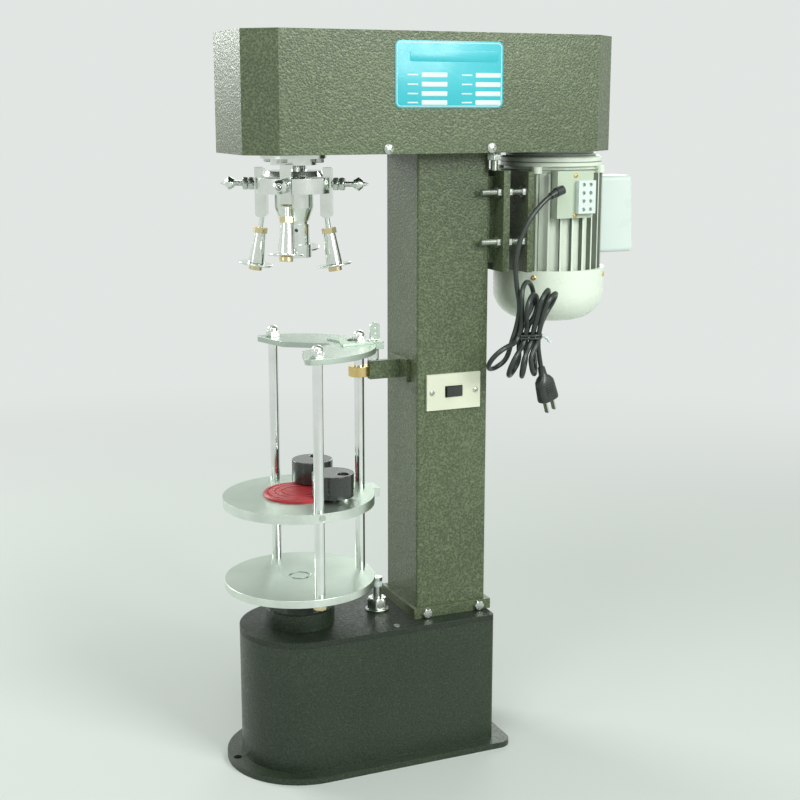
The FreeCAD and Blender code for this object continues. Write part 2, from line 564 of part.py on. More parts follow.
# neck guide on the cage's rods: a notched half disc and a sliding jaw
def makeNeckGuide():
    seat = "rod_top + guide_thick"
    plate = newBody("GuidePlate")
    sketch = sketchOn(plate, "XY_Plane", "rod_top")
    circle(sketch, "guide_radius")
    pad(plate, sketch, "guide_thick")
    front = sketchOn(plate, "XY_Plane", seat)
    beyond = "-2 * guide_radius"
    polygon(front, ("-guide_front", "-guide_radius"), ("-notch_in", "-notch_half"), ("notch_deep", "0"),
            ("-notch_in", "notch_half"), ("-guide_front", "guide_radius"), (beyond, "guide_radius"),
            (beyond, "-guide_radius"))
    open_ = pocket(plate, front, "guide_thick")
    roundEdges(plate, open_, "guide_corner_radius",
               lambda edge: upright(edge) and edge.CenterOfMass.x < size("notch_deep") + 1)
    lug = block("GuideLug", "guide_lug_rear - rod_circle", "guide_lug_wide", "guide_thick", "rod_circle",
                "-clamp_y", "rod_top")
    holes = [cylinder("GuideRodHole", "rod_end_radius", "guide_thick", x, y, "rod_top")
             for x, y in rodPlaces()]
    holes.append(cylinder("ClampHole", "clamp_bolt_radius", "guide_thick", "clamp_x", "-clamp_y", "rod_top"))
    node("guide_plate", cut("NeckGuide", fuse("GuideBlank", plate, lug), *holes))

    jaw = newBody("JawPlate")
    outline = sketchOn(jaw, "XY_Plane", seat)
    polygon(outline, ("jaw_front", "-jaw_half"), ("jaw_front + jaw_vee_deep", "0"), ("jaw_front", "jaw_half"),
            ("jaw_rear - jaw_arm_low", "jaw_half"), ("jaw_rear - jaw_arm_low", "jaw_nut_room"),
            ("jaw_shoulder", "jaw_nut_room"), ("jaw_shoulder", "-jaw_nut_room"),
            ("jaw_rear", "-jaw_nut_room"), ("jaw_rear", "-jaw_arm_low"), ("jaw_shoulder", "-jaw_half"))
    solid = pad(jaw, outline, "jaw_thick")
    roundEdges(jaw, solid, "jaw_corner_radius",
               lambda edge: upright(edge) and edge.CenterOfMass.x < size("jaw_rear") - 1)
    slotHalf = "(clamp_bolt_radius + slide_clearance)"
    slot = [cylinder("JawSlotEnd", slotHalf, "jaw_thick", "clamp_x - clamp_travel", "-clamp_y", seat),
            block("JawSlotMouth", "jaw_rear - clamp_x + clamp_travel", f"2 * {slotHalf}", "jaw_thick",
                  "clamp_x - clamp_travel", "-clamp_y", seat)]

    # the finger tab stands up beside the arm, with two small eyes
    tab = newBody("JawTab")
    face = sketchOn(tab, "XZ_Plane", "jaw_nut_room - tab_thick")
    rectangle(face, "jaw_rear - tab_width", "jaw_rear", seat, f"{seat} + tab_high")
    for step in ("0", "1"):
        circle(face, "tab_eye_radius", "jaw_rear - tab_width / 2",
               f"{seat} + tab_high - tab_width / 2 - {step} * tab_eye_pitch")
    blade = pad(tab, face, "tab_thick")
    top = size("rod_top") + size("guide_thick") + size("tab_high") - 1
    roundEdges(tab, blade, "tab_width / 2 - tab_eye_radius / 2",
               lambda edge: edge.CenterOfMass.z > top and along(edge, vector(0, 1, 0)))
    node("neck_jaw", fuse("NeckJaw", cut("JawSlotted", jaw, *slot), tab))

    knob = newBody("KnobGrip")
    outline = sketchOn(knob, "XY_Plane", "rod_top - knob_high")
    circle(outline, "knob_radius")
    pad(knob, outline, "knob_high")
    flute = sketchOn(knob, "XY_Plane", "rod_top")
    circle(flute, "flute_radius", "knob_radius + flute_radius / 2")
    ring(knob, pocket(knob, flute, "knob_high"), "flute_count")
    bore = cylinder("KnobBore", "clamp_bolt_radius + running_clearance", "knob_high", z="rod_top - knob_high")
    clamp = cut("ClampKnob", knob, bore)
    bind(clamp, "Placement.Base.y", "-clamp_y")
    node("clamp_knob", clamp, x="clamp_x")


def makeGuideArm():
    face = "column_x - column_side / 2"
    eyeLow = "arm_middle_z - bush_high / 2"
    foot = block("ArmFoot", "arm_foot_thick", "2 * arm_foot_half", "arm_foot_high",
                 f"{face} - arm_foot_thick", "0", "arm_middle_z - arm_foot_high / 2")
    bar = block("ArmBar", f"{face} - arm_foot_thick - rod_circle", "arm_bar_thick", "arm_bar_high",
                "rod_circle", "0", "arm_middle_z - arm_bar_high / 2")
    room = cylinder("ArmSaddle", "bush_radius", "arm_bar_high", "rod_circle", "0",
                    "arm_middle_z - arm_bar_high / 2")
    node("guide_arm", cut("GuideArm", fuse("ArmBody", foot, bar), room))
    bush = cylinder("BushRing", "bush_radius", "bush_high", "rod_circle", "0", eyeLow)
    bore = cylinder("BushHole", "rod_radius + running_clearance", "bush_high", "rod_circle", "0", eyeLow)
    node("guide_bush", cut("GuideBush", bush, bore))


# lift lever inside the base, on a pin in the hanger bolt's eye
def makeLinkage():
    inner = "(shaft_radius + lever_side_gap)"
    reach = f"({inner} + lever_thick + pin_spare)"
    front = "-lever_pivot_x - lever_high / 2"
    bars = [block("LeverBar", "lever_pivot_x + lever_rear + lever_high", "lever_thick", "lever_high", front,
                  f"({side}) * ({inner} + lever_thick / 2)", "-lever_high / 2") for side in ("-1", "1")]
    ties = [block("LeverTie", long, f"2 * {inner}", "lever_tie_high", f"{spot} - {long} / 2", "0",
                  "-lever_tie_high / 2")
            for spot, long in (("-lever_tie_front", "lever_tie_long"), ("lever_eye_x", "lever_eye_block"))]
    bore = cylinder("LeverBore", "lever_pin_radius + running_clearance", f"2 * {reach}", "0", f"-{reach}",
                    "0", alongY)
    # the pedal's pull rod comes up through this eye
    eye = cylinder("RodEye", "lever_eye_radius", "lever_tie_high", "lever_eye_x", "0", "-lever_tie_high / 2")
    slotHalf = "(shaft_pin_radius + lever_slot_clearance)"
    fork = block("LeverFork", "lever_high / 2 + lever_slot_in", f"2 * {reach}", f"2 * {slotHalf}", front,
                 "0", f"-{slotHalf}")
    lever = cut("LiftLever", fuse("LeverBody", *bars, *ties), bore, eye, fork)
    turned(lever, "lever_rest_turn", vector(0, -1, 0))
    bind(lever, "Placement.Base.z", "lever_pivot_z")
    node("lift_lever", lever, x="lever_pivot_x")

    x = "lever_pivot_x"
    under = "base_height - base_top_thick"
    eyeWide = "(2 * shaft_radius)"
    blank = fuse(
        "HangerBlank",
        cylinder("HangerEye", "hanger_eye_radius", eyeWide, x, f"-{eyeWide} / 2", "lever_pivot_z", alongY),
        cylinder("HangerShank", "hanger_shank_radius", f"{under} - lever_pivot_z", x, "0", "lever_pivot_z"),
        cylinder("HangerShoulder", "hanger_shoulder_radius", "hanger_shoulder_high", x, "0",
                 f"{under} - hanger_shoulder_high"),
        cylinder("HangerStud", "hanger_stud_radius", "base_top_thick + hanger_stud_up", x, "0", under))
    bore = cylinder("HangerBore", "lever_pin_radius", eyeWide, x, f"-{eyeWide} / 2", "lever_pivot_z", alongY)
    pin = cylinder("PivotPin", "lever_pin_radius", f"2 * {reach}", x, f"-{reach}", "lever_pivot_z", alongY)
    cap = cylinder("HangerCap", "hanger_cap_radius", "hanger_cap_high", x, "0",
                   "base_height + hanger_stud_up")
    node("lever_hanger", group("LeverHanger", cut("HangerBody", blank, bore), pin, cap))


# rocker switch on the column's near face
def makeSwitch():
    face = "-column_side / 2"
    front = f"{face} - switch_plate_thick"
    plate = block("SwitchFace", "switch_plate_long", "switch_plate_thick", "switch_plate_high",
                  "column_x - switch_plate_long / 2", f"{face} - switch_plate_thick / 2",
                  "switch_z - switch_plate_high / 2")
    body = block("SwitchBody", "switch_body_long - 2 * switch_body_gap", "switch_body_deep",
                 "switch_body_high - 2 * switch_body_gap",
                 "column_x - switch_body_long / 2 + switch_body_gap", f"{face} + switch_body_deep / 2",
                 "switch_z - switch_body_high / 2 + switch_body_gap")
    well = block("RockerWell", "rocker_long + 2 * rocker_gap", "switch_plate_thick + 2 * rocker_deep",
                 "rocker_high + 2 * rocker_gap", "column_x - rocker_long / 2 - rocker_gap", front,
                 "switch_z - rocker_high / 2 - rocker_gap")
    pinLong = "(rocker_high + 4 * rocker_gap)"
    hole = cylinder("RockerPinHole", "rocker_pin_radius + running_clearance", pinLong, "column_x",
                    f"{front} + rocker_pin_in", f"switch_z - {pinLong} / 2")
    node("switch_plate", cut("SwitchPlate", fuse("SwitchSolid", plate, body), well, hole))

    # both wings slope in to the middle; the button rests tilted
    wings = newBody("RockerWings")
    sketch = sketchOn(wings, "XY_Plane")
    half = "rocker_long / 2"
    back = "rocker_deep - rocker_proud - rocker_pin_in"
    rise = "-rocker_proud - rocker_pin_in"
    polygon(sketch, (f"-{half}", rise), ("0", f"{rise} + rocker_dip"), (half, rise),
            (f"{half} - rocker_draft", back), (f"-{half} + rocker_draft", back))
    pad(wings, sketch, "rocker_high", midplane=True)
    pin = cylinder("RockerPin", "rocker_pin_radius", pinLong, z=f"-{pinLong} / 2")
    rocker = turned(fuse("Rocker", wings, pin), "rocker_tilt")
    bind(rocker, "Placement.Base.y", f"{front} + rocker_pin_in")
    bind(rocker, "Placement.Base.z", "switch_z")
    node("rocker", rocker, x="column_x")


# head plate, belt cover and label
def coverOutline(sketch, inset):
    # moved in by inset, every side and chamfer stays parallel to the outer one
    front = f"-cover_front + {inset}"
    rear = f"cover_rear - {inset}"
    half = f"(cover_width / 2 - {inset})"
    slope = "sqrt(cover_chamfer_x ^ 2 + cover_chamfer_y ^ 2)"
    spare = f"{inset} * (cover_chamfer_x + cover_chamfer_y - {slope})"
    long = f"(cover_chamfer_x - {spare} / cover_chamfer_y)"
    wide = f"(cover_chamfer_y - {spare} / cover_chamfer_x)"
    polygon(sketch, (f"{front} + {long}", f"-{half}"), (f"{rear} - {long}", f"-{half}"),
            (rear, f"-{half} + {wide}"), (rear, f"{half} - {wide}"), (f"{rear} - {long}", half),
            (f"{front} + {long}", half), (front, f"{half} - {wide}"), (front, f"-{half} + {wide}"))


def coverPrism(name, inset, low, high):
    body = newBody(name)
    sketch = sketchOn(body, "XY_Plane", low)
    coverOutline(sketch, inset)
    pad(body, sketch, high)
    return body


def coverScrews(name, radius, long, inward):
    z = "head_bottom + head_plate_thick / 2"
    for x in ("cover_screw_front", "cover_screw_rear"):
        for side, out, back in (("-", againstY, alongY), ("", alongY, againstY)):
            yield cylinder(name, radius, long, x, f"{side}cover_width / 2", z, back if inward else out)


def makeHead():
    shank = ("cover_screw_radius", "cover_screw_long", True)
    shell = cut("CoverShell", coverPrism("CoverBlank", "0", "head_bottom", "head_height"),
                coverPrism("CoverHollow", "cover_sheet", "head_bottom", "head_height - cover_sheet"))
    node("belt_cover", cut("BeltCover", shell, *coverScrews("CoverHole", *shank)))
    blank = coverPrism("HeadPlateBlank", "cover_sheet", "head_bottom", "head_plate_thick")
    opening = cylinder("SpindleOpening", "housing_tube_radius", "head_plate_thick", z="head_bottom")
    slotLong = "(6 * motor_shaft_radius)"
    slot = block("MotorShaftSlot", slotLong, "3 * motor_shaft_radius", "head_plate_thick",
                 f"motor_x - {slotLong} / 2", "0", "head_bottom")
    node("head_plate", cut("HeadPlate", blank, opening, slot, *coverScrews("PlateHole", *shank)))
    label = newBody("Label")
    sketch = sketchOn(label, "XZ_Plane", "cover_width / 2")
    rectangle(sketch, "label_x - label_long / 2", "label_x + label_long / 2", "label_z - label_high / 2",
              "label_z + label_high / 2")
    solid = pad(label, sketch, "label_thick")
    roundEdges(label, solid, "label_corner_radius", lambda edge: along(edge, vector(0, 1, 0)))
    node("nameplate", label)


# every screw, bolt and nut that holds the standing parts
def makeFasteners():
    items = []
    heads = coverScrews("CoverScrewHead", "cover_screw_head_radius", "cover_screw_head_high", False)
    bars = coverScrews("CoverScrewShank", "cover_screw_radius", "cover_screw_long", True)
    items += [fuse("CoverScrew", head, bar) for head, bar in zip(heads, bars)]
    face = "column_side / 2 + foot_stand_out"
    for side, out in (("-", againstY), ("", alongY)):
        for step in ("-1", "1"):
            items.append(hexagon("FootBolt", "foot_bolt_flats", "foot_bolt_high",
                                 f"column_x + ({step}) * foot_bolt_x", f"{side}({face})",
                                 "base_height + foot_bolt_z", out))
        items.append(cylinder("LidScrew", "lid_screw_radius", "lid_screw_high", "lever_pivot_x",
                              f"{side}(base_width / 2 - lid_screw_inset)", "base_height"))
        items.append(fuse("PlateBolt",
                          cylinder("PlateBoltEnd", "plate_bolt_radius", "plate_bolt_long", "plate_bolt_x",
                                   f"{side}plate_bolt_y", "head_bottom - plate_bolt_long"),
                          hexagon("PlateBoltNut", "plate_bolt_flats", "plate_bolt_nut", "plate_bolt_x",
                                  f"{side}plate_bolt_y", "head_bottom - plate_bolt_nut")))
    for quarter in range(4):
        turn = f"{45 + 90 * quarter}"
        items.append(hexagon("HousingBolt", "housing_bolt_flats", "housing_bolt_high",
                             f"housing_bolt_circle * cos({turn})", f"housing_bolt_circle * sin({turn})",
                             "head_bottom - housing_flange_thick - housing_bolt_high"))
    for step in ("-1", "1"):
        items.append(cylinder("SwitchScrew", "plate_screw_radius", "plate_screw_high",
                              f"column_x + ({step}) * (switch_plate_long / 2 - plate_screw_inset)",
                              "-column_side / 2 - switch_plate_thick", "switch_z", againstY))
    washer = cylinder("HangerWasher", "hanger_washer_radius", "hanger_washer_thick", "lever_pivot_x", "0",
                      "base_height")
    nut = hexagon("HangerNutHex", "hanger_nut_flats", "hanger_nut_high", "lever_pivot_x", "0",
                  "base_height + hanger_washer_thick")
    bore = cylinder("HangerNutBore", "hanger_stud_radius", "hanger_nut_high + hanger_washer_thick",
                    "lever_pivot_x", "0", "base_height")
    items.append(cut("HangerNut", fuse("HangerNutBody", washer, nut), bore))
    node("fasteners", group("Fasteners", *items))


# spindle, its bearings and the belt drive
def pulley(name, radius, bore):
    low = "(pulley_z - pulley_high / 2)"
    high = "(pulley_z + pulley_high / 2)"
    floor = f"{radius} - pulley_groove"
    lip = "(belt_high / 2 + slide_clearance)"
    return revolve(name, (bore, low), (radius, low), (radius, f"pulley_z - {lip} - groove_lean"),
                   (floor, f"pulley_z - {lip}"), (floor, f"pulley_z + {lip}"),
                   (radius, f"pulley_z + {lip} + groove_lean"), (radius, high), (bore, high))


def beltLoop(name, extra):
    # both pulley circles and the four-sided shape between their common tangents
    large = f"(spindle_pulley_radius - pulley_groove + slide_clearance + {extra})"
    small = f"(motor_pulley_radius - pulley_groove + slide_clearance + {extra})"
    lean = f"({large} - {small}) / motor_x"
    across = f"sqrt(1 - ({lean}) ^ 2)"
    low = "pulley_z - belt_high / 2"
    web = newBody(name + "Web")
    sketch = sketchOn(web, "XY_Plane", low)
    polygon(sketch, (f"{large} * {lean}", f"-{large} * {across}"),
            (f"motor_x + {small} * {lean}", f"-{small} * {across}"),
            (f"motor_x + {small} * {lean}", f"{small} * {across}"),
            (f"{large} * {lean}", f"{large} * {across}"))
    pad(web, sketch, "belt_high")
    return fuse(name, cylinder(name + "Large", large, "belt_high", z=low), web,
                cylinder(name + "Small", small, "belt_high", "motor_x", z=low))


def makeSpindle():
    nose = "(head_bottom - housing_nose_low)"
    top = "(head_bottom + head_plate_thick + housing_top_rise)"
    flange = "head_bottom - housing_flange_thick"
    race = "bearing_radius - bearing_race"
    node("spindle_housing", revolve(
        "SpindleHousing", ("bearing_radius", nose), ("housing_nose_radius", nose),
        ("housing_nose_radius", flange), ("housing_flange_radius", flange),
        ("housing_flange_radius", "head_bottom"),
        ("housing_tube_radius", "head_bottom"), ("housing_tube_radius", top), ("bearing_radius", top),
        ("bearing_radius", f"{top} - bearing_wide"), (race, f"{top} - bearing_wide"),
        (race, f"{nose} + bearing_wide"), ("bearing_radius", f"{nose} + bearing_wide")))
    bearings = []
    for low in (nose, f"{top} - bearing_wide"):
        high = f"{low} + bearing_wide"
        inner = "spindle_radius + bearing_race"
        bore = "spindle_radius + running_clearance"
        bearings.append(revolve(
            "BallBearing", (bore, low), (inner, low), (inner, f"{low} + bearing_groove"),
            (race, f"{low} + bearing_groove"), (race, low), ("bearing_radius", low),
            ("bearing_radius", high), (race, high), (race, f"{high} - bearing_groove"),
            (inner, f"{high} - bearing_groove"), (inner, high), (bore, high)))
    node("spindle_bearings", group("SpindleBearings", *bearings))
    long = "spindle_top - hub_bottom"
    shaft = cylinder("SpindleBar", "spindle_radius", long, z="hub_bottom")
    bore = cylinder("SpindleBore", "press_rod_radius + slide_clearance", long, z="hub_bottom")
    window = block("SpindleWindow", "4 * spindle_radius", "key_thick + 2 * slide_clearance",
                   "spreader_high + press_stroke", "-2 * spindle_radius", "0", "spreader_low")
    node("spindle_shaft", cut("SpindleShaft", shaft, bore, window))
    node("spindle_pulley", pulley("SpindlePulley", "spindle_pulley_radius", "spindle_radius"))
    node("motor_pulley", pulley("MotorPulley", "motor_pulley_radius", "motor_shaft_radius"), x="motor_x")
    node("drive_belt", cut("DriveBelt", beltLoop("BeltOuter", "belt_thick"), beltLoop("BeltInner", "0")))


# capping hub with four slots, and the screws that limit the arms
def makeHub():
    blank = cylinder("HubBlank", "hub_radius", "hub_high", z="hub_bottom")
    tools = [cylinder("HubBore", "spindle_radius", "hub_high", z="hub_bottom")]
    screws = []
    start = "hub_slot_inner - hub_screw_deep"
    for number, turn in armTurns():
        slot = block("HubSlot", "hub_radius", "arm_wide + 2 * slide_clearance", "hub_high",
                     "hub_slot_inner", "0", "hub_bottom")
        pin = cylinder("HubPinHole", "arm_pin_radius + running_clearance", "arm_pin_long", "lever_circle",
                       "-arm_pin_long / 2", "arm_pivot_z", alongY)
        tapped = cylinder("HubScrewHole", "screw_radius", "hub_screw_deep", start, "0", "arm_screw_z", alongX)
        tools.append(turned(fuse("HubCut", slot, pin, tapped), turn))
        z = "arm_screw_z"
        parts = [cylinder("RadialShank", "screw_radius", f"screw_reach - ({start})", start, "0", z, alongX),
                 cone("RadialTip", "screw_radius", "screw_tip_radius", "screw_tip_long", "screw_reach", "0",
                      z, alongX),
                 cone("ConeNutRear", "cone_nut_base", "cone_nut_radius", "cone_nut_rear", "cone_nut_x", "0",
                      z, alongX),
                 cone("ConeNutFront", "cone_nut_radius", "cone_nut_base", "cone_nut_front",
                      "cone_nut_x + cone_nut_rear", "0", z, alongX)]
        parts += [hexagon("RadialNut", "screw_nut_flats", "screw_nut_high", x, "0", z, alongX)
                  for x in ("stop_nut_x", "lock_nut_x")]
        screws.append(turned(fuse("RadialScrew", *parts), turn))
    node("capping_hub", cut("CappingHub", blank, *tools))
    node("adjusting_screws", group("AdjustingScrews", *screws))
    bore = "press_rod_radius + slide_clearance"
    waist = "bell_waist_z - sleeve_groove"
    neck = "sleeve_radius - sleeve_groove_deep"
    node("spring_bell", revolve(
        "SpringBell", (bore, "sleeve_end"), ("sleeve_radius", "sleeve_end"), ("sleeve_radius", waist),
        (neck, waist), (neck, "bell_waist_z"), ("sleeve_radius", "bell_waist_z"),
        ("bell_radius", "hub_bottom - bell_straight"), ("bell_radius", "hub_bottom"), (bore, "hub_bottom")))


# the press cup rides up the sleeve, and its rod carries the spreader cone with a cross key
def makePress():
    low = "sleeve_end + cup_lap - cup_high"
    keyLow = "spreader_low + (spreader_high - key_high) / 2"
    shell = revolve(
        "CupShell", ("0", f"{low} + cup_dish_deep"), ("cup_dish_radius", f"{low} + cup_dish_deep"),
        ("cup_dish_radius + edge_break", low), ("cup_radius", low), ("cup_radius", "sleeve_end + cup_lap"),
        ("sleeve_radius + slide_clearance", "sleeve_end + cup_lap"),
        ("sleeve_radius + slide_clearance", f"{low} + cup_floor"), ("0", f"{low} + cup_floor"))
    rodLow = f"({low} + cup_floor - key_bite)"
    rod = cylinder("PressRod", "press_rod_radius", f"{keyLow} + key_high - {rodLow}", z=rodLow)
    node("press_cup", fuse("PressCup", shell, rod))
    cone_ = cone("SpreaderBlank", "spreader_radius", "spreader_top_radius", "spreader_high", z="spreader_low")
    bore = cylinder("SpreaderBore", "spindle_radius + slide_clearance", "spreader_high", z="spreader_low")
    key = block("SpreaderKey", "2 * (spindle_radius + key_bite)", "key_thick", "key_high",
                "-spindle_radius - key_bite", "0", keyLow)
    eye = cylinder("KeyEye", "press_rod_radius", "key_high", z=keyLow)
    node("spreader_cone", fuse("SpreaderCone", cut("SpreaderRing", cone_, bore), cut("KeyBored", key, eye)))


# four roller arms, every other one set higher for the second row of rollers
def makeArms():
    for number, turn in armTurns():
        high = "1" if number % 2 == 0 else "0"
        low = f"(arm_pivot_z - arm_bottom_drop + {high} * arm_raise)"
        top = f"(arm_pivot_z + arm_top_rise + {high} * arm_top_raise)"
        inner = "lever_circle - arm_depth / 2"
        outer = "lever_circle + arm_depth / 2"
        finger = f"({outer} - finger_deep)"
        lever = newBody("ArmLever")
        side = sketchOn(lever, "XZ_Plane")
        polygon(side, (f"{inner} + arm_taper", low), (f"{outer} - arm_taper", low),
                (outer, f"{low} + arm_taper"), (outer, top), (finger, top),
                (finger, "arm_pivot_z + finger_low"), (inner, "arm_pivot_z + finger_low"),
                (inner, f"{low} + arm_taper"))
        pad(lever, side, "arm_wide", midplane=True)
        pinHole = cylinder("ArmPinHole", "arm_pin_radius", "arm_wide", "lever_circle", "-arm_wide / 2",
                           "arm_pivot_z", alongY)
        screwHole = cylinder("ArmScrewHole", "screw_hole_radius", "2 * arm_depth",
                             "lever_circle - arm_depth", "0", "arm_screw_z", alongX)
        # below the lever the stud, nut, holder and roller pin splay outwards
        leg = fuse("ArmLeg",
                   cylinder("ArmStud", "stud_radius", "stud_long + stud_radius", z="-stud_long"),
                   hexagon("ArmCollarNut", "collar_nut_flats", "collar_nut_high",
                           z="-stud_long - collar_nut_high"),
                   cone("ArmHolder", "holder_low_radius", "holder_top_radius", "holder_long",
                        z="-stud_long - collar_nut_high - holder_long"),
                   cylinder("RollerPin", "roller_pin_radius", "roller_thick + 2 * roller_gap",
                            z="-stud_long - collar_nut_high - holder_long - roller_thick - 2 * roller_gap"),
                   cylinder("RollerNut", "roller_nut_radius", "roller_nut_high",
                            z="-stud_long - collar_nut_high - holder_long - roller_thick - 2 * roller_gap"
                              " - roller_nut_high"))
        pin = cylinder("ArmPivotPin", "arm_pin_radius", "arm_pin_long", "lever_circle", "-arm_pin_long / 2",
                       "arm_pivot_z", alongY)
        arm = fuse("ArmSolid", cut("ArmBlock", lever, pinHole, screwHole), splay(leg, low))
        node(f"roller_arm_{number}", group("RollerArm", arm, pin), turn)

        seat = "-stud_long - collar_nut_high - holder_long - roller_gap - roller_thick"
        wheel = newBody("RollerWheel")
        sketch = sketchOn(wheel, "XY_Plane", seat)
        circle(sketch, "roller_radius")
        circle(sketch, "roller_pin_radius + running_clearance")
        disc = pad(wheel, sketch, "roller_thick")
        limit = size("roller_radius")
        roundEdges(wheel, disc, "roller_round", lambda edge: edge.BoundBox.XLength > limit)
        node(f"roller_{number}", group("Roller", splay(wheel, low)), turn)


def splay(item, low):
    turned(item, "arm_splay", vector(0, -1, 0))
    bind(item, "Placement.Base.x", "lever_circle")
    bind(item, "Placement.Base.z", low)
    return item


# motor with a finned frame, drawn about its own shaft
def makeMotor():
    x = "motor_x"
    frame = newBody("FinnedFrame")
    barrel = sketchOn(frame, "XY_Plane", "frame_bottom")
    circle(barrel, "frame_radius")
    pad(frame, barrel, "frame_top - frame_bottom")
    fin = sketchOn(frame, "XY_Plane", "frame_bottom")
    rectangle(fin, "frame_radius - fin_root", "fin_radius", "-fin_wide / 2", "fin_wide / 2")
    ring(frame, pad(frame, fin, "frame_top - frame_bottom"), "fin_count")
    high = "frame_top - frame_bottom"
    foot = f"({footFace()} - motor_x)"
    boss = block("FootPad", f"-motor_bore_radius - {foot}", "2 * foot_pad_half", "foot_plate_high", foot, "0",
                 "foot_plate_bottom")
    bore = cylinder("BarrelBore", "motor_bore_radius", high, z="frame_bottom")
    room = block("FootRoom", "fin_radius", "3 * fin_radius", high, f"{foot} - fin_radius", "0",
                 "frame_bottom")
    seat = block("TerminalSeat", "terminal_wide", "fin_radius", "terminal_high", "-terminal_lead",
                 "-terminal_in - fin_radius / 2", "terminal_low")
    limit = cylinder("FrameLimit", "2 * fin_radius", high, z="frame_bottom")
    node("motor_frame", cut("MotorFrame", common("FrameTrimmed", fuse("FrameBlank", frame, boss), limit),
                            bore, room, seat), x=x)

    step, top = "frame_top + shield_step_high", "frame_top + shield_high"
    hole = "motor_shaft_radius + running_clearance"
    disc = revolve("ShieldDisc", (hole, "frame_top"), ("shield_step_radius", "frame_top"),
                   ("shield_step_radius", step), ("shield_radius", step),
                   ("shield_radius", f"{top} - edge_break"), ("shield_radius - edge_break", top),
                   (hole, top))
    ears = [cylinder("ShieldEar", "ear_radius", "shield_step_high", f"ear_circle * cos({turn})",
                     f"ear_circle * sin({turn})", "frame_top") for turn in ("45", "135", "225", "315")]
    node("motor_end_shield", fuse("MotorEndShield", disc, *ears), x=x)

    cowl = newBody("FanCowl")
    profile = sketchOn(cowl, "XZ_Plane")
    skin = "cowl_radius - cowl_sheet"
    rim = "frame_bottom + cowl_lap"
    polygon(profile, ("0", "cowl_bottom"), ("cowl_radius", "cowl_bottom"), ("cowl_radius", rim),
            ("fin_radius", rim), ("fin_radius", "frame_bottom"), (skin, "frame_bottom"),
            (skin, "cowl_bottom + cowl_sheet"), ("0", "cowl_bottom + cowl_sheet"))
    solid = cowl.newObject("PartDesign::Revolution", "CowlTurn")
    solid.Profile = profile
    solid.ReferenceAxis = (profile, ["V_Axis"])
    solid.Angle = 360
    # the same centre for both radii keeps the sheet's thickness round the bend
    for radius, height in (("cowl_round", size("cowl_bottom")),
                           ("cowl_round - cowl_sheet", size("cowl_bottom") + size("cowl_sheet"))):
        near = size("cowl_sheet") / 2
        solid = roundEdges(cowl, solid, radius, lambda edge: abs(edge.CenterOfMass.z - height) < near
                           and edge.BoundBox.XLength > size("cowl_radius"))
    vent = sketchOn(cowl, "XY_Plane", "cowl_bottom + cowl_sheet")
    circle(vent, "vent_radius", "vent_ring")
    ring(cowl, pocket(cowl, vent, "cowl_sheet"), "vent_count")
    node("fan_cowl", cowl, x=x)

    low = "(fan_low - fan_shaft_end)"
    bar = cylinder("RotorBar", "motor_shaft_radius", f"motor_shaft_top - {low}", z=low)
    core = cylinder("RotorCore", "rotor_radius", f"{high} - 2 * rotor_end_gap",
                    z="frame_bottom + rotor_end_gap")
    node("motor_rotor", fuse("MotorRotor", bar, core), x=x)
    fan = newBody("CoolingFan")
    disc = sketchOn(fan, "XY_Plane", "fan_low + fan_blade_high - fan_web")
    circle(disc, "fan_radius")
    circle(disc, "motor_shaft_radius")
    pad(fan, disc, "fan_web")
    hub = sketchOn(fan, "XY_Plane", "fan_low")
    circle(hub, "fan_hub_radius")
    circle(hub, "motor_shaft_radius")
    pad(fan, hub, "fan_blade_high")
    blade = sketchOn(fan, "XY_Plane", "fan_low")
    rectangle(blade, "fan_hub_radius - fan_blade_thick", "fan_radius", "-fan_blade_thick / 2",
              "fan_blade_thick / 2")
    ring(fan, pad(fan, blade, "fan_blade_high"), "fan_blade_count")
    node("cooling_fan", fan, x=x)
    makeMotorBoxes(x)


def footFace():
    # where the motor's cast pad meets its foot plate
    return "(column_rear + bracket_deep + plate_thick + foot_plate_gap + foot_plate_thick)"


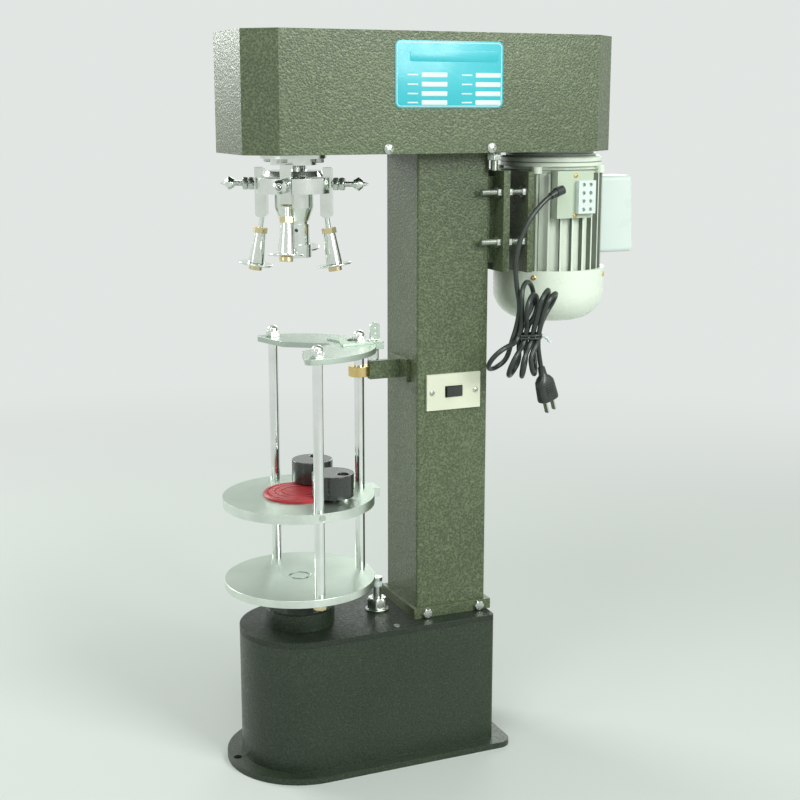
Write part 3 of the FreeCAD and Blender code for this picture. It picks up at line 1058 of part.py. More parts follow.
def makeMotorBoxes(x):
    box = newBody("CapacitorBlank")
    sketch = sketchOn(box, "XZ_Plane")
    lowEnd = "capacitor_top - capacitor_high"
    polygon(sketch, ("frame_radius", lowEnd), ("frame_radius + capacitor_long + capacitor_flare", lowEnd),
            ("frame_radius + capacitor_long", "capacitor_top"), ("frame_radius", "capacitor_top"))
    solid = pad(box, sketch, "capacitor_wide", midplane=True)
    limit = size("frame_radius") + 1
    roundEdges(box, solid, "capacitor_round", lambda edge: edge.CenterOfMass.x > limit)
    room = cylinder("CapacitorSeat", "fin_radius + running_clearance", "3 * capacitor_high",
                    z="capacitor_top - 2 * capacitor_high")
    node("capacitor_box", cut("CapacitorBox", box, room), x=x)

    panel = block("TerminalPlate", "terminal_wide", "terminal_face - terminal_in", "terminal_high",
                  "-terminal_lead", "-(terminal_face + terminal_in) / 2", "terminal_low")
    stripX = "-terminal_lead + terminal_wide - strip_wide"
    stripZ = "terminal_low + terminal_high - strip_high - strip_drop"
    strip = block("TerminalStrip", "strip_wide", "strip_deep", "strip_high", stripX,
                  "-terminal_face - strip_deep / 2", stripZ)
    holes = [cylinder("TerminalHole", "strip_hole_radius", "strip_hole_deep",
                      f"{stripX} + strip_wide * {share}", "-terminal_face - strip_deep",
                      f"{stripZ} + strip_high * ({step} + 0.5) / strip_rows", alongY)
             for share in ("0.3", "0.7") for step in range(int(size("strip_rows")))]
    room = cylinder("ShieldRoom", "shield_step_radius + slide_clearance", "shield_high", z="frame_top")
    direction, lead = leadStart()
    gland = doc.addObject("Part::Feature", "CordGland")
    back = lead.sub(vector(size("motor_x"), 0, 0))
    gland.Shape = Part.makeCylinder(size("gland_radius"), size("gland_long"), back, direction).cut(
        Part.makeCylinder(size("cord_radius"), size("gland_long"), back, direction))
    node("terminal_panel", fuse("TerminalPanel", cut("PanelNotched", panel, room),
                                cut("StripDrilled", strip, *holes), gland), x=x)


# studs and nuts on the fixed plate set the motor's distance, and so the belt's tension
def makeMotorMount():
    plateX = "(column_rear + bracket_deep)"
    footX = f"({footFace()} - foot_plate_thick)"
    spacer = block("BracketSpacer", "bracket_deep", "bracket_wide", "bracket_high", "column_rear", "0",
                   "bracket_bottom")
    plate = block("BracketPlate", "plate_thick", "plate_wide", "plate_high", plateX, "0", "plate_bottom")
    foot = block("FootPlate", "foot_plate_thick", "plate_wide", "foot_plate_high", footX, "0",
                 "foot_plate_bottom")
    bores = []
    feet = []
    bolts = []
    for z in ("tension_low", "tension_high"):
        for side in ("-", ""):
            y = f"{side}tension_y"
            bores.append(cylinder("BracketHole", "tension_radius", "plate_thick", plateX, y, z, alongX))
            feet.append(cylinder("FootHole", "tension_radius", "foot_plate_thick", footX, y, z, alongX))
            nuts = [hexagon("TensionNut", "tension_nut_flats", "tension_nut_high", x, y, z, alongX)
                    for x in (f"{plateX} - tension_nut_high", f"{plateX} + plate_thick",
                              f"{footX} - tension_nut_high")]
            stud = cylinder("TensionStud", "tension_radius", f"{footFace()} - tension_start", "tension_start",
                            y, z, alongX)
            bolts.append(fuse("TensionBolt", stud, *nuts))
    node("motor_bracket", cut("MotorBracket", fuse("BracketBody", spacer, plate), *bores))
    node("motor_foot", cut("MotorFoot", foot, *feet))
    node("tension_bolts", group("TensionBolts", *bolts))


# mains lead: straight runs joined by tangent arcs, a tied hank and a two-pin plug
leadRoute = [(334, -80.5, 743), (317, -84, 738), (298, -87, 725), (281, -89, 706), (268, -89, 681),
             (262, -90, 650), (264, -92, 622), (270, -94, 598), (280, -95, 578)]
hankPlace = (282, -95, 0)
# level, shift along X, half width and half depth of the tied turns
hankWaist = (560, -1, 15.5, 12)
hankSections = [(626, 2, 9, 8), (616, 10, 23, 15), (588, 4, 18, 14), hankWaist, (536, -14, 34, 17),
                (517, -21, 37, 18), (509, -22, 30, 10)]
plugPlace = (299, -95, 509)
plugAim = (11, 0, -34)
plugSections = [(0, 0.42), (0.16, 0.5), (0.4, 0.95), (0.85, 1), (1, 0.9)]


def leadStart():
    points = [vector(*point) for point in leadRoute[:2]]
    direction = points[1].sub(points[0])
    direction.normalize()
    return direction, points[0]


def tangentWire(points):
    edges = []
    start = points[0]
    length = 0
    for before, corner, after in zip(points, points[1:], points[2:]):
        one, two = before.sub(corner), after.sub(corner)
        bend = math.pi - one.getAngle(two)
        radius = 0.45 * min(one.Length, two.Length) / math.tan(bend / 2)
        one.normalize()
        two.normalize()
        first = corner + one * radius * math.tan(bend / 2)
        last = corner + two * radius * math.tan(bend / 2)
        inward = (one + two).normalize()
        middle = corner + inward * (radius / math.cos(bend / 2) - radius)
        edges += [Part.LineSegment(start, first).toShape(), Part.Arc(first, middle, last).toShape()]
        length += start.distanceToPoint(first) + radius * bend
        print("cord bend radius", round(radius, 1))
        start = last
    edges.append(Part.LineSegment(start, points[-1]).toShape())
    return Part.Wire(edges), length + start.distanceToPoint(points[-1])


def oval(name, wide, deep, x="0", y="0", z="0"):
    item = doc.addObject("Part::Ellipse", name)
    bind(item, "MajorRadius", wide)
    bind(item, "MinorRadius", deep)
    return place(item, x, y, z)


def loft(name, *sections):
    item = doc.addObject("Part::Loft", name)
    item.Sections = list(sections)
    item.Solid = True
    return item


def makeLead():
    x, y, _ = hankPlace
    hank = loft("CordHank", *[oval("HankTurns", str(half), str(deep), f"{x} + ({shift})", str(y), str(level))
                              for level, shift, half, deep in hankSections])
    node("cord_hank", hank)
    level, shift, half, deep = hankWaist
    band = [oval("TieOval", f"{half} + {spare}", f"{deep} + {spare}") for spare in ("tie_stand_out", "0")]
    tie = []
    for item in band:
        place(item, f"{x} + ({shift})", str(y), f"{level} - tie_high / 2")
        solid = doc.addObject("Part::Extrusion", "TieBand")
        solid.Base = item
        solid.Dir = upward
        solid.DirMode = "Custom"
        solid.Solid = True
        bind(solid, "LengthFwd", "tie_high")
        tie.append(solid)
    node("hank_tie", cut("HankTie", tie[0], hankCopy()))

    radius = size("cord_radius")
    route = [vector(*point) for point in leadRoute]
    wire, length = tangentWire(route)
    start = Part.Wire(Part.Circle(route[0], route[1].sub(route[0]), radius).toShape())
    tube = wire.makePipeShell([start], True, True)
    share = tube.Volume / (math.pi * radius ** 2 * length)
    print("cord lead", round(length, 1), "mm, volume ratio", round(share, 4))
    lead = doc.addObject("Part::Feature", "LeadTube")
    lead.Shape = tube
    node("cord_lead", cut("CordLead", lead, hankCopy()))

    body = loft("PlugBody", *[oval("PlugOval", f"plug_radius * {scale}", f"plug_radius * {scale} * plug_flat",
                                   z=f"plug_long * {share}") for share, scale in plugSections])
    pins = [block("PlugPin", "pin_thick", "pin_wide", "2 * pin_long",
                  f"({side}) * pin_pitch / 2 - pin_thick / 2", "0", "plug_long - pin_long")
            for side in ("-1", "1")]
    tail = cylinder("PlugTail", "cord_radius", "plug_tail + plug_long / 2", z="-plug_tail")
    plug = fuse("PlugSolid", body, tail, *pins)
    plug.Placement = FreeCAD.Placement(vector(*plugPlace), FreeCAD.Rotation(upward, vector(*plugAim)))
    node("mains_plug", cut("MainsPlug", plug, hankCopy()))


def hankCopy():
    # the turns again, as a cutting tool that stands where the lead and tie are drawn
    x, y, _ = hankPlace
    return loft("HankTool", *[
        oval("HankToolOval", str(half), str(deep), f"{x} + ({shift})", str(y), str(level))
        for level, shift, half, deep in hankSections])


for make in (makeBase, makeColumn, makeCage, makeTable, makeNeckGuide, makeGuideArm, makeLinkage,
             makeSwitch, makeHead, makeFasteners, makeSpindle, makeHub, makePress, makeArms, makeMotor,
             makeMotorMount, makeLead):
    make()
doc.recompute()

failed = [item.Name for item in doc.Objects if {"Invalid", "Error"} & set(item.State)]
if failed:
    raise RuntimeError("objects failed: " + ", ".join(failed))
os.makedirs("parts", exist_ok=True)
for label, item in nodes:
    if item.Shape.isNull() or not item.Shape.isValid() or not item.Shape.Solids:
        raise RuntimeError("bad shape: " + label)
    item.Shape.exportStep(f"parts/{label}.step")
print(len(nodes), "nodes written")
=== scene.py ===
import bmesh
import bpy
import json
import math
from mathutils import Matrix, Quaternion, Vector
from mathutils.noise import noise


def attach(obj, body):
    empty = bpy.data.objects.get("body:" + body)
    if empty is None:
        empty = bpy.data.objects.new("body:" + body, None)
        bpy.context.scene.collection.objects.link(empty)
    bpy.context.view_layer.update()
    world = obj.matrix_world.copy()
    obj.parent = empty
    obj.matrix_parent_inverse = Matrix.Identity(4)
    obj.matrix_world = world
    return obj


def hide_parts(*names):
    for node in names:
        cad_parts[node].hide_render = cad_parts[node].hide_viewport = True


# bench bottle capping machine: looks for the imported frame, in metres
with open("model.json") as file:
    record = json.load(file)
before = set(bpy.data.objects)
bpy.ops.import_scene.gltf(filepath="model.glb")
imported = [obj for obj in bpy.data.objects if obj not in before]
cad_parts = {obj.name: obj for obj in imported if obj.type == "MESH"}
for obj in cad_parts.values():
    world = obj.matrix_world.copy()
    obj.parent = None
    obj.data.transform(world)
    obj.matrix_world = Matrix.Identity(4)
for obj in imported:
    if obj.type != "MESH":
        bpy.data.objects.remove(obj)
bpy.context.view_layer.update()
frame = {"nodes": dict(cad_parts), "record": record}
nodes = frame["nodes"]
scene = bpy.context.scene
print("frame loaded,", len(nodes), "nodes")

liftAxis = Vector((-0.083, 0, 0))     # axis of the spindle and of the lifting cage
motorAxis = Vector((0.278, 0, 0))


def fromLift(x, y, z):
    # millimetres about the lift axis to the frame's metres
    return liftAxis + Vector((x, y, z)) / 1000


def turnedOut(degrees):
    # a level direction, turned from +X
    return Vector((math.cos(math.radians(degrees)), math.sin(math.radians(degrees)), 0))


# camera, light and floor
cameraSetup = {
    "place": (-0.64985, -1.63809, 0.84793),
    "forward": (0.3888, 0.8977, -0.2075),
    "lens": 62.45,
    "sensor": 36,
}
lightSetup = {
    "skyStrength": 0.31,
    "skyColour": (0.95, 1.0, 0.955),
    "backColour": (0.76, 0.79, 0.77),
    "floorColour": (0.66, 0.69, 0.67),
    "floorRadius": 9,
    "fadeFrom": 0.75,
    "fadeTo": 2.6,
}
softBoxes = [
    # name, place, aim, size, watts
    ("keyBox", (1.0, -2.3, 1.75), (0.05, 0, 0.62), (1.2, 1.2), 56),
    ("topBox", (-0.7, -0.9, 2.2), (-0.05, 0, 0.6), (0.8, 0.8), 12),
    ("sideBox", (-1.15, 1.9, 1.45), (-0.18, 0, 0.8), (1.0, 0.9), 30),
    ("leftBox", (-1.9, -0.5, 1.25), (-0.15, 0, 0.75), (0.5, 0.9), 4),
    ("rimBox", (1.5, 2.1, 1.5), (0.1, 0, 0.6), (1.2, 1.2), 14),
]


def makeCamera():
    data = bpy.data.cameras.new("camera")
    data.sensor_fit = "HORIZONTAL"
    data.sensor_width = cameraSetup["sensor"]
    data.lens = cameraSetup["lens"]
    data.clip_start = 0.05
    data.clip_end = 60
    camera = bpy.data.objects.new("camera", data)
    camera.location = cameraSetup["place"]
    camera.rotation_mode = "QUATERNION"
    camera.rotation_quaternion = Vector(cameraSetup["forward"]).to_track_quat("-Z", "Y")
    scene.collection.objects.link(camera)
    scene.camera = camera
    scene.view_settings.view_transform = "Standard"


def newMaterial(name):
    material = bpy.data.materials.new(name)
    material.use_nodes = True
    tree = material.node_tree
    return material, tree, tree.nodes["Principled BSDF"]


def addNode(tree, kind, inputs=None, **settings):
    node = tree.nodes.new(kind)
    for key, value in settings.items():
        setattr(node, key, value)
    for key, value in (inputs or {}).items():
        node.inputs[key].default_value = value
    return node


def lightPathMix(tree):
    # 1 for rays that see the backdrop directly, mirrored or through glass
    path = addNode(tree, "ShaderNodeLightPath")
    first = addNode(tree, "ShaderNodeMath", operation="MAXIMUM")
    second = addNode(tree, "ShaderNodeMath", operation="MAXIMUM")
    tree.links.new(path.outputs["Is Camera Ray"], first.inputs[0])
    tree.links.new(path.outputs["Is Glossy Ray"], first.inputs[1])
    tree.links.new(first.outputs[0], second.inputs[0])
    tree.links.new(path.outputs["Is Transmission Ray"], second.inputs[1])
    return second.outputs[0]


def makeSky():
    world = bpy.data.worlds.new("studio")
    world.use_nodes = True
    scene.world = world
    tree = world.node_tree
    tree.nodes.clear()
    out = addNode(tree, "ShaderNodeOutputWorld")
    sky = addNode(tree, "ShaderNodeBackground",
                  {"Color": (*lightSetup["skyColour"], 1), "Strength": lightSetup["skyStrength"]})
    back = addNode(tree, "ShaderNodeBackground", {"Color": (*lightSetup["backColour"], 1), "Strength": 1})
    mix = addNode(tree, "ShaderNodeMixShader")
    tree.links.new(lightPathMix(tree), mix.inputs[0])
    tree.links.new(sky.outputs[0], mix.inputs[1])
    tree.links.new(back.outputs[0], mix.inputs[2])
    tree.links.new(mix.outputs[0], out.inputs["Surface"])


def makeFloor():
    bm = bmesh.new()
    bmesh.ops.create_circle(bm, cap_ends=True, segments=96, radius=lightSetup["floorRadius"])
    material, tree, shader = newMaterial("paperFloor")
    shader.inputs["Base Color"].default_value = (*lightSetup["floorColour"], 1)
    shader.inputs["Roughness"].default_value = 0.85
    floor = linkMesh("floor", bm, material)
    place = addNode(tree, "ShaderNodeTexCoord")
    length = addNode(tree, "ShaderNodeVectorMath", operation="LENGTH")
    fade = addNode(tree, "ShaderNodeMapRange",
                   {"From Min": lightSetup["fadeFrom"], "From Max": lightSetup["fadeTo"]},
                   interpolation_type="SMOOTHSTEP")
    far = addNode(tree, "ShaderNodeEmission", {"Color": (*lightSetup["backColour"], 1)})
    both = addNode(tree, "ShaderNodeMath", operation="MULTIPLY")
    mix = addNode(tree, "ShaderNodeMixShader")
    tree.links.new(place.outputs["Object"], length.inputs[0])
    tree.links.new(length.outputs["Value"], fade.inputs["Value"])
    tree.links.new(fade.outputs[0], both.inputs[0])
    tree.links.new(lightPathMix(tree), both.inputs[1])
    tree.links.new(both.outputs[0], mix.inputs[0])
    tree.links.new(shader.outputs[0], mix.inputs[1])
    tree.links.new(far.outputs[0], mix.inputs[2])
    tree.links.new(mix.outputs[0], tree.nodes["Material Output"].inputs["Surface"])


def makeLights():
    for name, place, aim, size, watts in softBoxes:
        data = bpy.data.lights.new(name, "AREA")
        data.shape = "RECTANGLE"
        data.size, data.size_y = size
        data.energy = watts
        data.color = lightSetup["skyColour"]
        lamp = bpy.data.objects.new(name, data)
        lamp.location = place
        lamp.rotation_euler = (Vector(aim) - Vector(place)).to_track_quat("-Z", "Y").to_euler()
        scene.collection.objects.link(lamp)


# mesh helpers
def linkMesh(name, bm, material=None, smooth=None):
    mesh = bpy.data.meshes.new(name)
    bm.normal_update()
    bm.to_mesh(mesh)
    bm.free()
    if smooth is not None:
        mesh.shade_smooth()
        mesh.set_sharp_from_angle(angle=math.radians(smooth))
    piece = bpy.data.objects.new(name, mesh)
    scene.collection.objects.link(piece)
    for item in (material if isinstance(material, (list, tuple)) else [material]):
        if item:
            mesh.materials.append(item)
    return piece


def finishPiece(piece, body, slot, *replaced):
    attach(piece, body)
    if replaced:
        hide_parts(*replaced)
    return piece


def bodyOf(node):
    return next(body for body, names in frame["record"]["behaviour"]["bodies"].items() if node in names)


def slotOf(node):
    return next(entry["material_slot"] for entry in frame["record"]["subparts"] if entry["node"] == node)


def softEdges(node, material, width=0.0005, segments=2, hard=32, smooth=40, accents=(), where=None):
    # a copy of a CAD node with its hard edges broken, which then stands for it; where(centre) picks an accent
    bm = bmesh.new()
    bm.from_mesh(nodes[node].data)
    bmesh.ops.remove_doubles(bm, verts=bm.verts, dist=2e-6)
    bmesh.ops.dissolve_limit(bm, angle_limit=math.radians(0.6), verts=bm.verts, edges=bm.edges)
    edges = [edge for edge in bm.edges
             if len(edge.link_faces) == 2 and edge.calc_face_angle(0) > math.radians(hard)]
    bmesh.ops.bevel(bm, geom=edges, offset=width, offset_type="OFFSET", segments=segments, profile=0.5,
                    affect="EDGES", clamp_overlap=True)
    if accents:
        for face in bm.faces:
            face.material_index = where((face.calc_center_median() - liftAxis) * 1000)
        material = [material, *accents]
    piece = linkMesh("soft_" + node, bm, material, smooth)
    flat = piece.modifiers.new("flatFaces", "WEIGHTED_NORMAL")
    flat.keep_sharp = True
    flat.weight = 80
    return finishPiece(piece, bodyOf(node), slotOf(node), node)


def dressNode(node, material):
    # the CAD solid stays and takes the finish
    target = nodes[node]
    if not target.material_slots:
        target.data.materials.append(material)
    for spot in target.material_slots:
        spot.material = material


def joinRows(bm, rows, material=0, flip=False):
    # quads between neighbouring rows of points; a row of one point closes to a fan
    for low, high in zip(rows, rows[1:]):
        size = max(len(low), len(high))
        for i in range(size):
            j = (i + 1) % size
            loop = [low[i % len(low)], low[j % len(low)], high[j % len(high)], high[i % len(high)]]
            if flip:
                loop = loop[:1] + loop[:0:-1]
            corners = list(dict.fromkeys(loop))
            if len(corners) > 2:
                bm.faces.new(corners).material_index = material


def lathe(bm, profile, centre, axis=(0, 0, 1), steps=48, flats=None, material=0):
    # turns (radius, height) points about an axis; flats limits every radius to a hexagon of that width
    turn = Vector((0, 0, 1)).rotation_difference(Vector(axis).normalized())
    rows = []
    for radius, height in profile:
        if radius < 1e-7:
            rows.append([bm.verts.new(Vector(centre) + turn @ Vector((0, 0, height)))])
            continue
        row = []
        for i in range(steps):
            angle = 2 * math.pi * i / steps
            reach = radius
            if flats:
                reach = min(radius, flats / 2 / math.cos((angle % (math.pi / 3)) - math.pi / 6))
            spot = Vector((reach * math.cos(angle), reach * math.sin(angle), height))
            row.append(bm.verts.new(Vector(centre) + turn @ spot))
        rows.append(row)
    joinRows(bm, rows, material)


def hexNut(bm, centre, axis, flats, height, bore, material=0):
    # a hexagon nut with both faces chamfered and a countersunk bore
    corner = flats / math.sqrt(3)
    cut = corner - flats * 0.48
    top = flats * 0.485
    sink = bore * 0.12
    lathe(bm, [(bore, sink), (bore + sink, 0), (top, 0), (corner, cut * 0.6), (corner, height - cut * 0.6),
               (top, height), (bore + sink, height), (bore, height - sink)], centre, axis, 72, flats, material)


def hexHead(bm, centre, axis, flats, height, material=0):
    # a bolt's hexagon head with a chamfered face
    corner = flats / math.sqrt(3)
    cut = (corner - flats * 0.48) * 0.6
    lathe(bm, [(corner, 0), (corner, height - cut), (flats * 0.47, height), (0, height)], centre, axis, 72, flats,
          material)


def screwHead(bm, centre, axis, radius, height, turn=0.0, slots=1, material=0):
    # a domed head with one slot, or two crossed ones, cut by lowering a fine grid
    axis = Vector(axis).normalized()
    spin = Vector((0, 0, 1)).rotation_difference(axis)
    count = 26
    half, deep = radius * 0.15, height * 0.55
    reach = radius * 0.78

    def level(u, v):
        away = math.hypot(u, v) / radius
        dome = height * (1 - 0.55 * away ** 2.6)
        for k in range(slots):
            angle = math.radians(turn + 90 * k)
            along = u * math.cos(angle) + v * math.sin(angle)
            across = -u * math.sin(angle) + v * math.cos(angle)
            if abs(across) < half and abs(along) < (reach if slots > 1 else radius * 2):
                return dome - deep
        return dome

    def spot(u, v, w):
        return bm.verts.new(Vector(centre) + spin @ Vector((u, v, w)))

    rows = [[spot(0, 0, level(0, 0))]]
    for ring in range(1, count + 1):
        rows.append([spot(u, v, level(u, v)) for u, v in roundSection(radius * ring / count, 96)])
    rows.append([spot(u, v, 0) for u, v in roundSection(radius, 96)])
    joinRows(bm, rows, material, flip=True)


def thread(bm, start, axis, length, radius, pitch, material=0, steps=24, depth=0.6):
    # a helical vee thread on a bar, closed at both ends
    turn = Vector((0, 0, 1)).rotation_difference(Vector(axis).normalized())
    root = radius - depth * pitch
    total = int(length / pitch * steps)
    low, high = [], []
    for k in range(total + steps + 1):
        angle = 2 * math.pi * k / steps
        base = pitch * k / steps - pitch
        for store, reach, rise in ((low, root, base), (high, radius, base + pitch / 2)):
            rise = min(max(rise, 0), length)
            spot = Vector((reach * math.cos(angle), reach * math.sin(angle), rise))
            store.append(bm.verts.new(Vector(start) + turn @ spot))
    for k in range(total + steps):
        bm.faces.new((low[k], low[k + 1], high[k + 1], high[k])).material_index = material
        if k + steps + 1 < len(low):
            bm.faces.new((high[k], high[k + 1], low[k + 1 + steps], low[k + steps])).material_index = material
    for k, rise in ((0, 0), (len(low) - 1 - steps, length)):
        ring = [low[k + i] for i in range(steps)]
        middle = bm.verts.new(Vector(start) + turn @ Vector((0, 0, rise)))
        for i in range(steps):
            corners = (ring[i], ring[(i + 1) % steps], middle)
            bm.faces.new(corners if rise else corners[::-1]).material_index = material


def sweep(bm, points, section, closed=False, material=0):
    # section(share) gives the (across, up) outline at each point of a path
    rows = []
    normal = None
    count = len(points)
    for i, point in enumerate(points):
        if closed:
            tangent = (points[(i + 1) % count] - points[i - 1]).normalized()
        else:
            tangent = (points[min(i + 1, count - 1)] - points[max(i - 1, 0)]).normalized()
        if normal is None:
            guide = Vector((0, 0, 1)) if abs(tangent.z) < 0.9 else Vector((1, 0, 0))
            normal = (guide - tangent * guide.dot(tangent)).normalized()
        normal = (normal - tangent * normal.dot(tangent)).normalized()
        side = tangent.cross(normal)
        outline = section(i / max(count - 1, 1))
        rows.append([bm.verts.new(point + side * a + normal * b) for a, b in outline])
    joinRows(bm, rows + rows[:1] if closed else rows, material)
    if not closed:
        bm.faces.new(rows[0][::-1]).material_index = material
        bm.faces.new(rows[-1]).material_index = material


def roundSection(radius, steps=16):
    return [(radius * math.cos(2 * math.pi * i / steps), radius * math.sin(2 * math.pi * i / steps))
            for i in range(steps)]


def ovalSection(wide, deep, power, steps):
    # an oval with fuller corners than an ellipse
    out = []
    for i in range(steps):
        angle = 2 * math.pi * i / steps
        c, s = math.cos(angle), math.sin(angle)
        reach = (abs(c) ** power + abs(s) ** power) ** (-1 / power)
        out.append((wide * c * reach, deep * s * reach))
    return out


def weldBead(name, runs, radius=0.0022):
    # small overlapping ripples along each run, painted over with what they join
    bm = bmesh.new()
    for run in runs:
        points = []
        for a, b in zip(run, run[1:]):
            steps = max(2, int((b - a).length / 0.0011))
            points += [a.lerp(b, i / steps) for i in range(steps)]
        points.append(run[-1])

        def ripple(share, count=len(points), first=points[0]):
            place = share * (count - 1)
            rough = noise(Vector((place * 0.21, first.x * 90, first.z * 70)))
            return roundSection(radius * (0.86 + 0.16 * abs(math.sin(place * 0.9)) + 0.22 * rough), 10)

        sweep(bm, points, ripple)
    piece = linkMesh(name, bm, paint, 60)
    return finishPiece(piece, "machine", "hammered_paint")


def roundedRect(wide, high, radius, steps=6):
    out = []
    for cx, cy, start in ((1, 1, 0), (-1, 1, 90), (-1, -1, 180), (1, -1, 270)):
        for i in range(steps + 1):
            angle = math.radians(start + 90 * i / steps)
            out.append((cx * (wide / 2 - radius) + radius * math.cos(angle),
                        cy * (high / 2 - radius) + radius * math.sin(angle)))
    return out


def raisedShape(bm, centre, outline, low, high, edge, material=0):
    # a flat shape that stands off the plane y = low towards -Y, its rim rolled over by edge
    def spot(x, z, y):
        return bm.verts.new(Vector(centre) + Vector((x, 0, z)) + Vector((0, -y, 0)))

    def shrink(x, z, amount):
        return x - math.copysign(amount, x), z - math.copysign(amount, z)

    rows = [[spot(x, z, low) for x, z in outline]]
    rows.append([spot(x, z, high - edge) for x, z in outline])
    rows.append([spot(*shrink(x, z, edge * 0.3), high - edge * 0.3) for x, z in outline])
    rows.append([spot(*shrink(x, z, edge), high) for x, z in outline])
    joinRows(bm, rows, material)
    bm.faces.new(rows[-1]).material_index = material


def raisedFrame(bm, centre, outer, inner, low, high, material=0):
    # a flat ring between two outlines with the same number of points
    def spot(x, z, y):
        return bm.verts.new(Vector(centre) + Vector((x, -y, z)))

    rows = [[spot(x, z, y) for x, z in line]
            for line, y in ((outer, low), (outer, high), (inner, high), (inner, low))]
    joinRows(bm, rows, material)


# finishes
def objectCoords(tree, scale=(1, 1, 1), place=(0, 0, 0)):
    coords = addNode(tree, "ShaderNodeTexCoord")
    mapping = addNode(tree, "ShaderNodeMapping", {"Scale": scale, "Location": place})
    tree.links.new(coords.outputs["Object"], mapping.inputs["Vector"])
    return mapping.outputs[0]


def noiseNode(tree, coords, scale, detail=4, roughness=0.5):
    node = addNode(tree, "ShaderNodeTexNoise", {"Scale": scale, "Detail": detail, "Roughness": roughness})
    tree.links.new(coords, node.inputs["Vector"])
    return node.outputs["Fac"]


def colourRamp(tree, factor, *stops):
    ramp = addNode(tree, "ShaderNodeValToRGB")
    while len(ramp.color_ramp.elements) < len(stops):
        ramp.color_ramp.elements.new(0.5)
    for element, (place, colour) in zip(ramp.color_ramp.elements, stops):
        element.position = place
        element.color = (*colour, 1)
    tree.links.new(factor, ramp.inputs["Fac"])
    return ramp.outputs["Color"]


def valueRange(tree, factor, low, high, fromLow=0.3, fromHigh=0.7):
    node = addNode(tree, "ShaderNodeMapRange",
                   {"From Min": fromLow, "From Max": fromHigh, "To Min": low, "To Max": high})
    tree.links.new(factor, node.inputs["Value"])
    return node.outputs[0]


def addBump(tree, shader, height, distance, strength=1):
    bump = addNode(tree, "ShaderNodeBump", {"Distance": distance, "Strength": strength})
    tree.links.new(height, bump.inputs["Height"])
    tree.links.new(bump.outputs[0], shader.inputs["Normal"])


def setCoat(shader, weight, roughness):
    shader.inputs["Coat Weight"].default_value = weight
    shader.inputs["Coat Roughness"].default_value = roughness


def hammeredPaint(name, dark, light, cell=520, roughness=0.3):
    # hammertone enamel: a skin of small dimples with paler rims
    material, tree, shader = newMaterial(name)
    coords = objectCoords(tree)
    wide = noiseNode(tree, coords, 6, 3)
    fine = noiseNode(tree, coords, cell * 0.55, 2, 0.6)
    dimples = addNode(tree, "ShaderNodeTexVoronoi", {"Scale": cell, "Smoothness": 0.35, "Randomness": 1},
                      feature="SMOOTH_F1")
    tree.links.new(coords, dimples.inputs["Vector"])
    blend = addNode(tree, "ShaderNodeMath", operation="MULTIPLY_ADD")
    blend.inputs[1].default_value = 0.7
    tree.links.new(dimples.outputs["Distance"], blend.inputs[0])
    tree.links.new(valueRange(tree, wide, -0.06, 0.10), blend.inputs[2])
    tree.links.new(colourRamp(tree, blend.outputs[0], (0.12, dark), (0.75, light)), shader.inputs["Base Color"])
    tree.links.new(valueRange(tree, fine, roughness - 0.08, roughness + 0.14), shader.inputs["Roughness"])
    height = addNode(tree, "ShaderNodeMath", operation="ADD")
    tree.links.new(dimples.outputs["Distance"], height.inputs[0])
    tree.links.new(fine, height.inputs[1])
    addBump(tree, shader, height.outputs[0], 0.0005, 0.7)
    setCoat(shader, 0.12, 0.25)
    shader.inputs["Specular IOR Level"].default_value = 0.38
    return material


def enamel(name, colour, shade, roughness=0.3, grain=260, depth=0.00005, coat=0.2):
    # smooth sprayed enamel with a faint orange peel
    material, tree, shader = newMaterial(name)
    coords = objectCoords(tree)
    tree.links.new(colourRamp(tree, noiseNode(tree, coords, 9), (0.35, shade), (0.62, colour)),
                   shader.inputs["Base Color"])
    tree.links.new(valueRange(tree, noiseNode(tree, coords, 40, 5), roughness - 0.05, roughness + 0.1),
                   shader.inputs["Roughness"])
    addBump(tree, shader, noiseNode(tree, coords, grain, 2), depth)
    setCoat(shader, coat, 0.15)
    return material


def bareMetal(name, colour, shade, roughness=0.18, scratch=(900, 900, 90), depth=0.00001, spread=0.08):
    # plated or ground steel with fine scratches along one direction
    material, tree, shader = newMaterial(name)
    shader.inputs["Metallic"].default_value = 1
    smear = noiseNode(tree, objectCoords(tree), 28, 5, 0.6)
    lines = noiseNode(tree, objectCoords(tree, scratch), 1, 3, 0.7)
    tree.links.new(colourRamp(tree, smear, (0.3, shade), (0.65, colour)), shader.inputs["Base Color"])
    tree.links.new(valueRange(tree, lines, roughness - spread * 0.4, roughness + spread), shader.inputs["Roughness"])
    addBump(tree, shader, lines, depth)
    return material


def turnedMetal(name, colour, shade, axis, pitch=0.0007, roughness=0.26, depth=0.000012):
    # a faced disc: fine rings about its own axis
    material, tree, shader = newMaterial(name)
    shader.inputs["Metallic"].default_value = 1
    length = addNode(tree, "ShaderNodeVectorMath", operation="LENGTH")
    tree.links.new(objectCoords(tree, (1, 1, 0), (-axis.x, -axis.y, 0)), length.inputs[0])
    rings = addNode(tree, "ShaderNodeTexNoise", {"Scale": 1 / pitch, "Detail": 3}, noise_dimensions="1D")
    tree.links.new(length.outputs["Value"], rings.inputs["W"])
    smear = noiseNode(tree, objectCoords(tree), 16)
    tree.links.new(colourRamp(tree, smear, (0.3, shade), (0.7, colour)), shader.inputs["Base Color"])
    tree.links.new(valueRange(tree, rings.outputs["Fac"], roughness - 0.05, roughness + 0.08),
                   shader.inputs["Roughness"])
    addBump(tree, shader, rings.outputs["Fac"], depth)
    return material


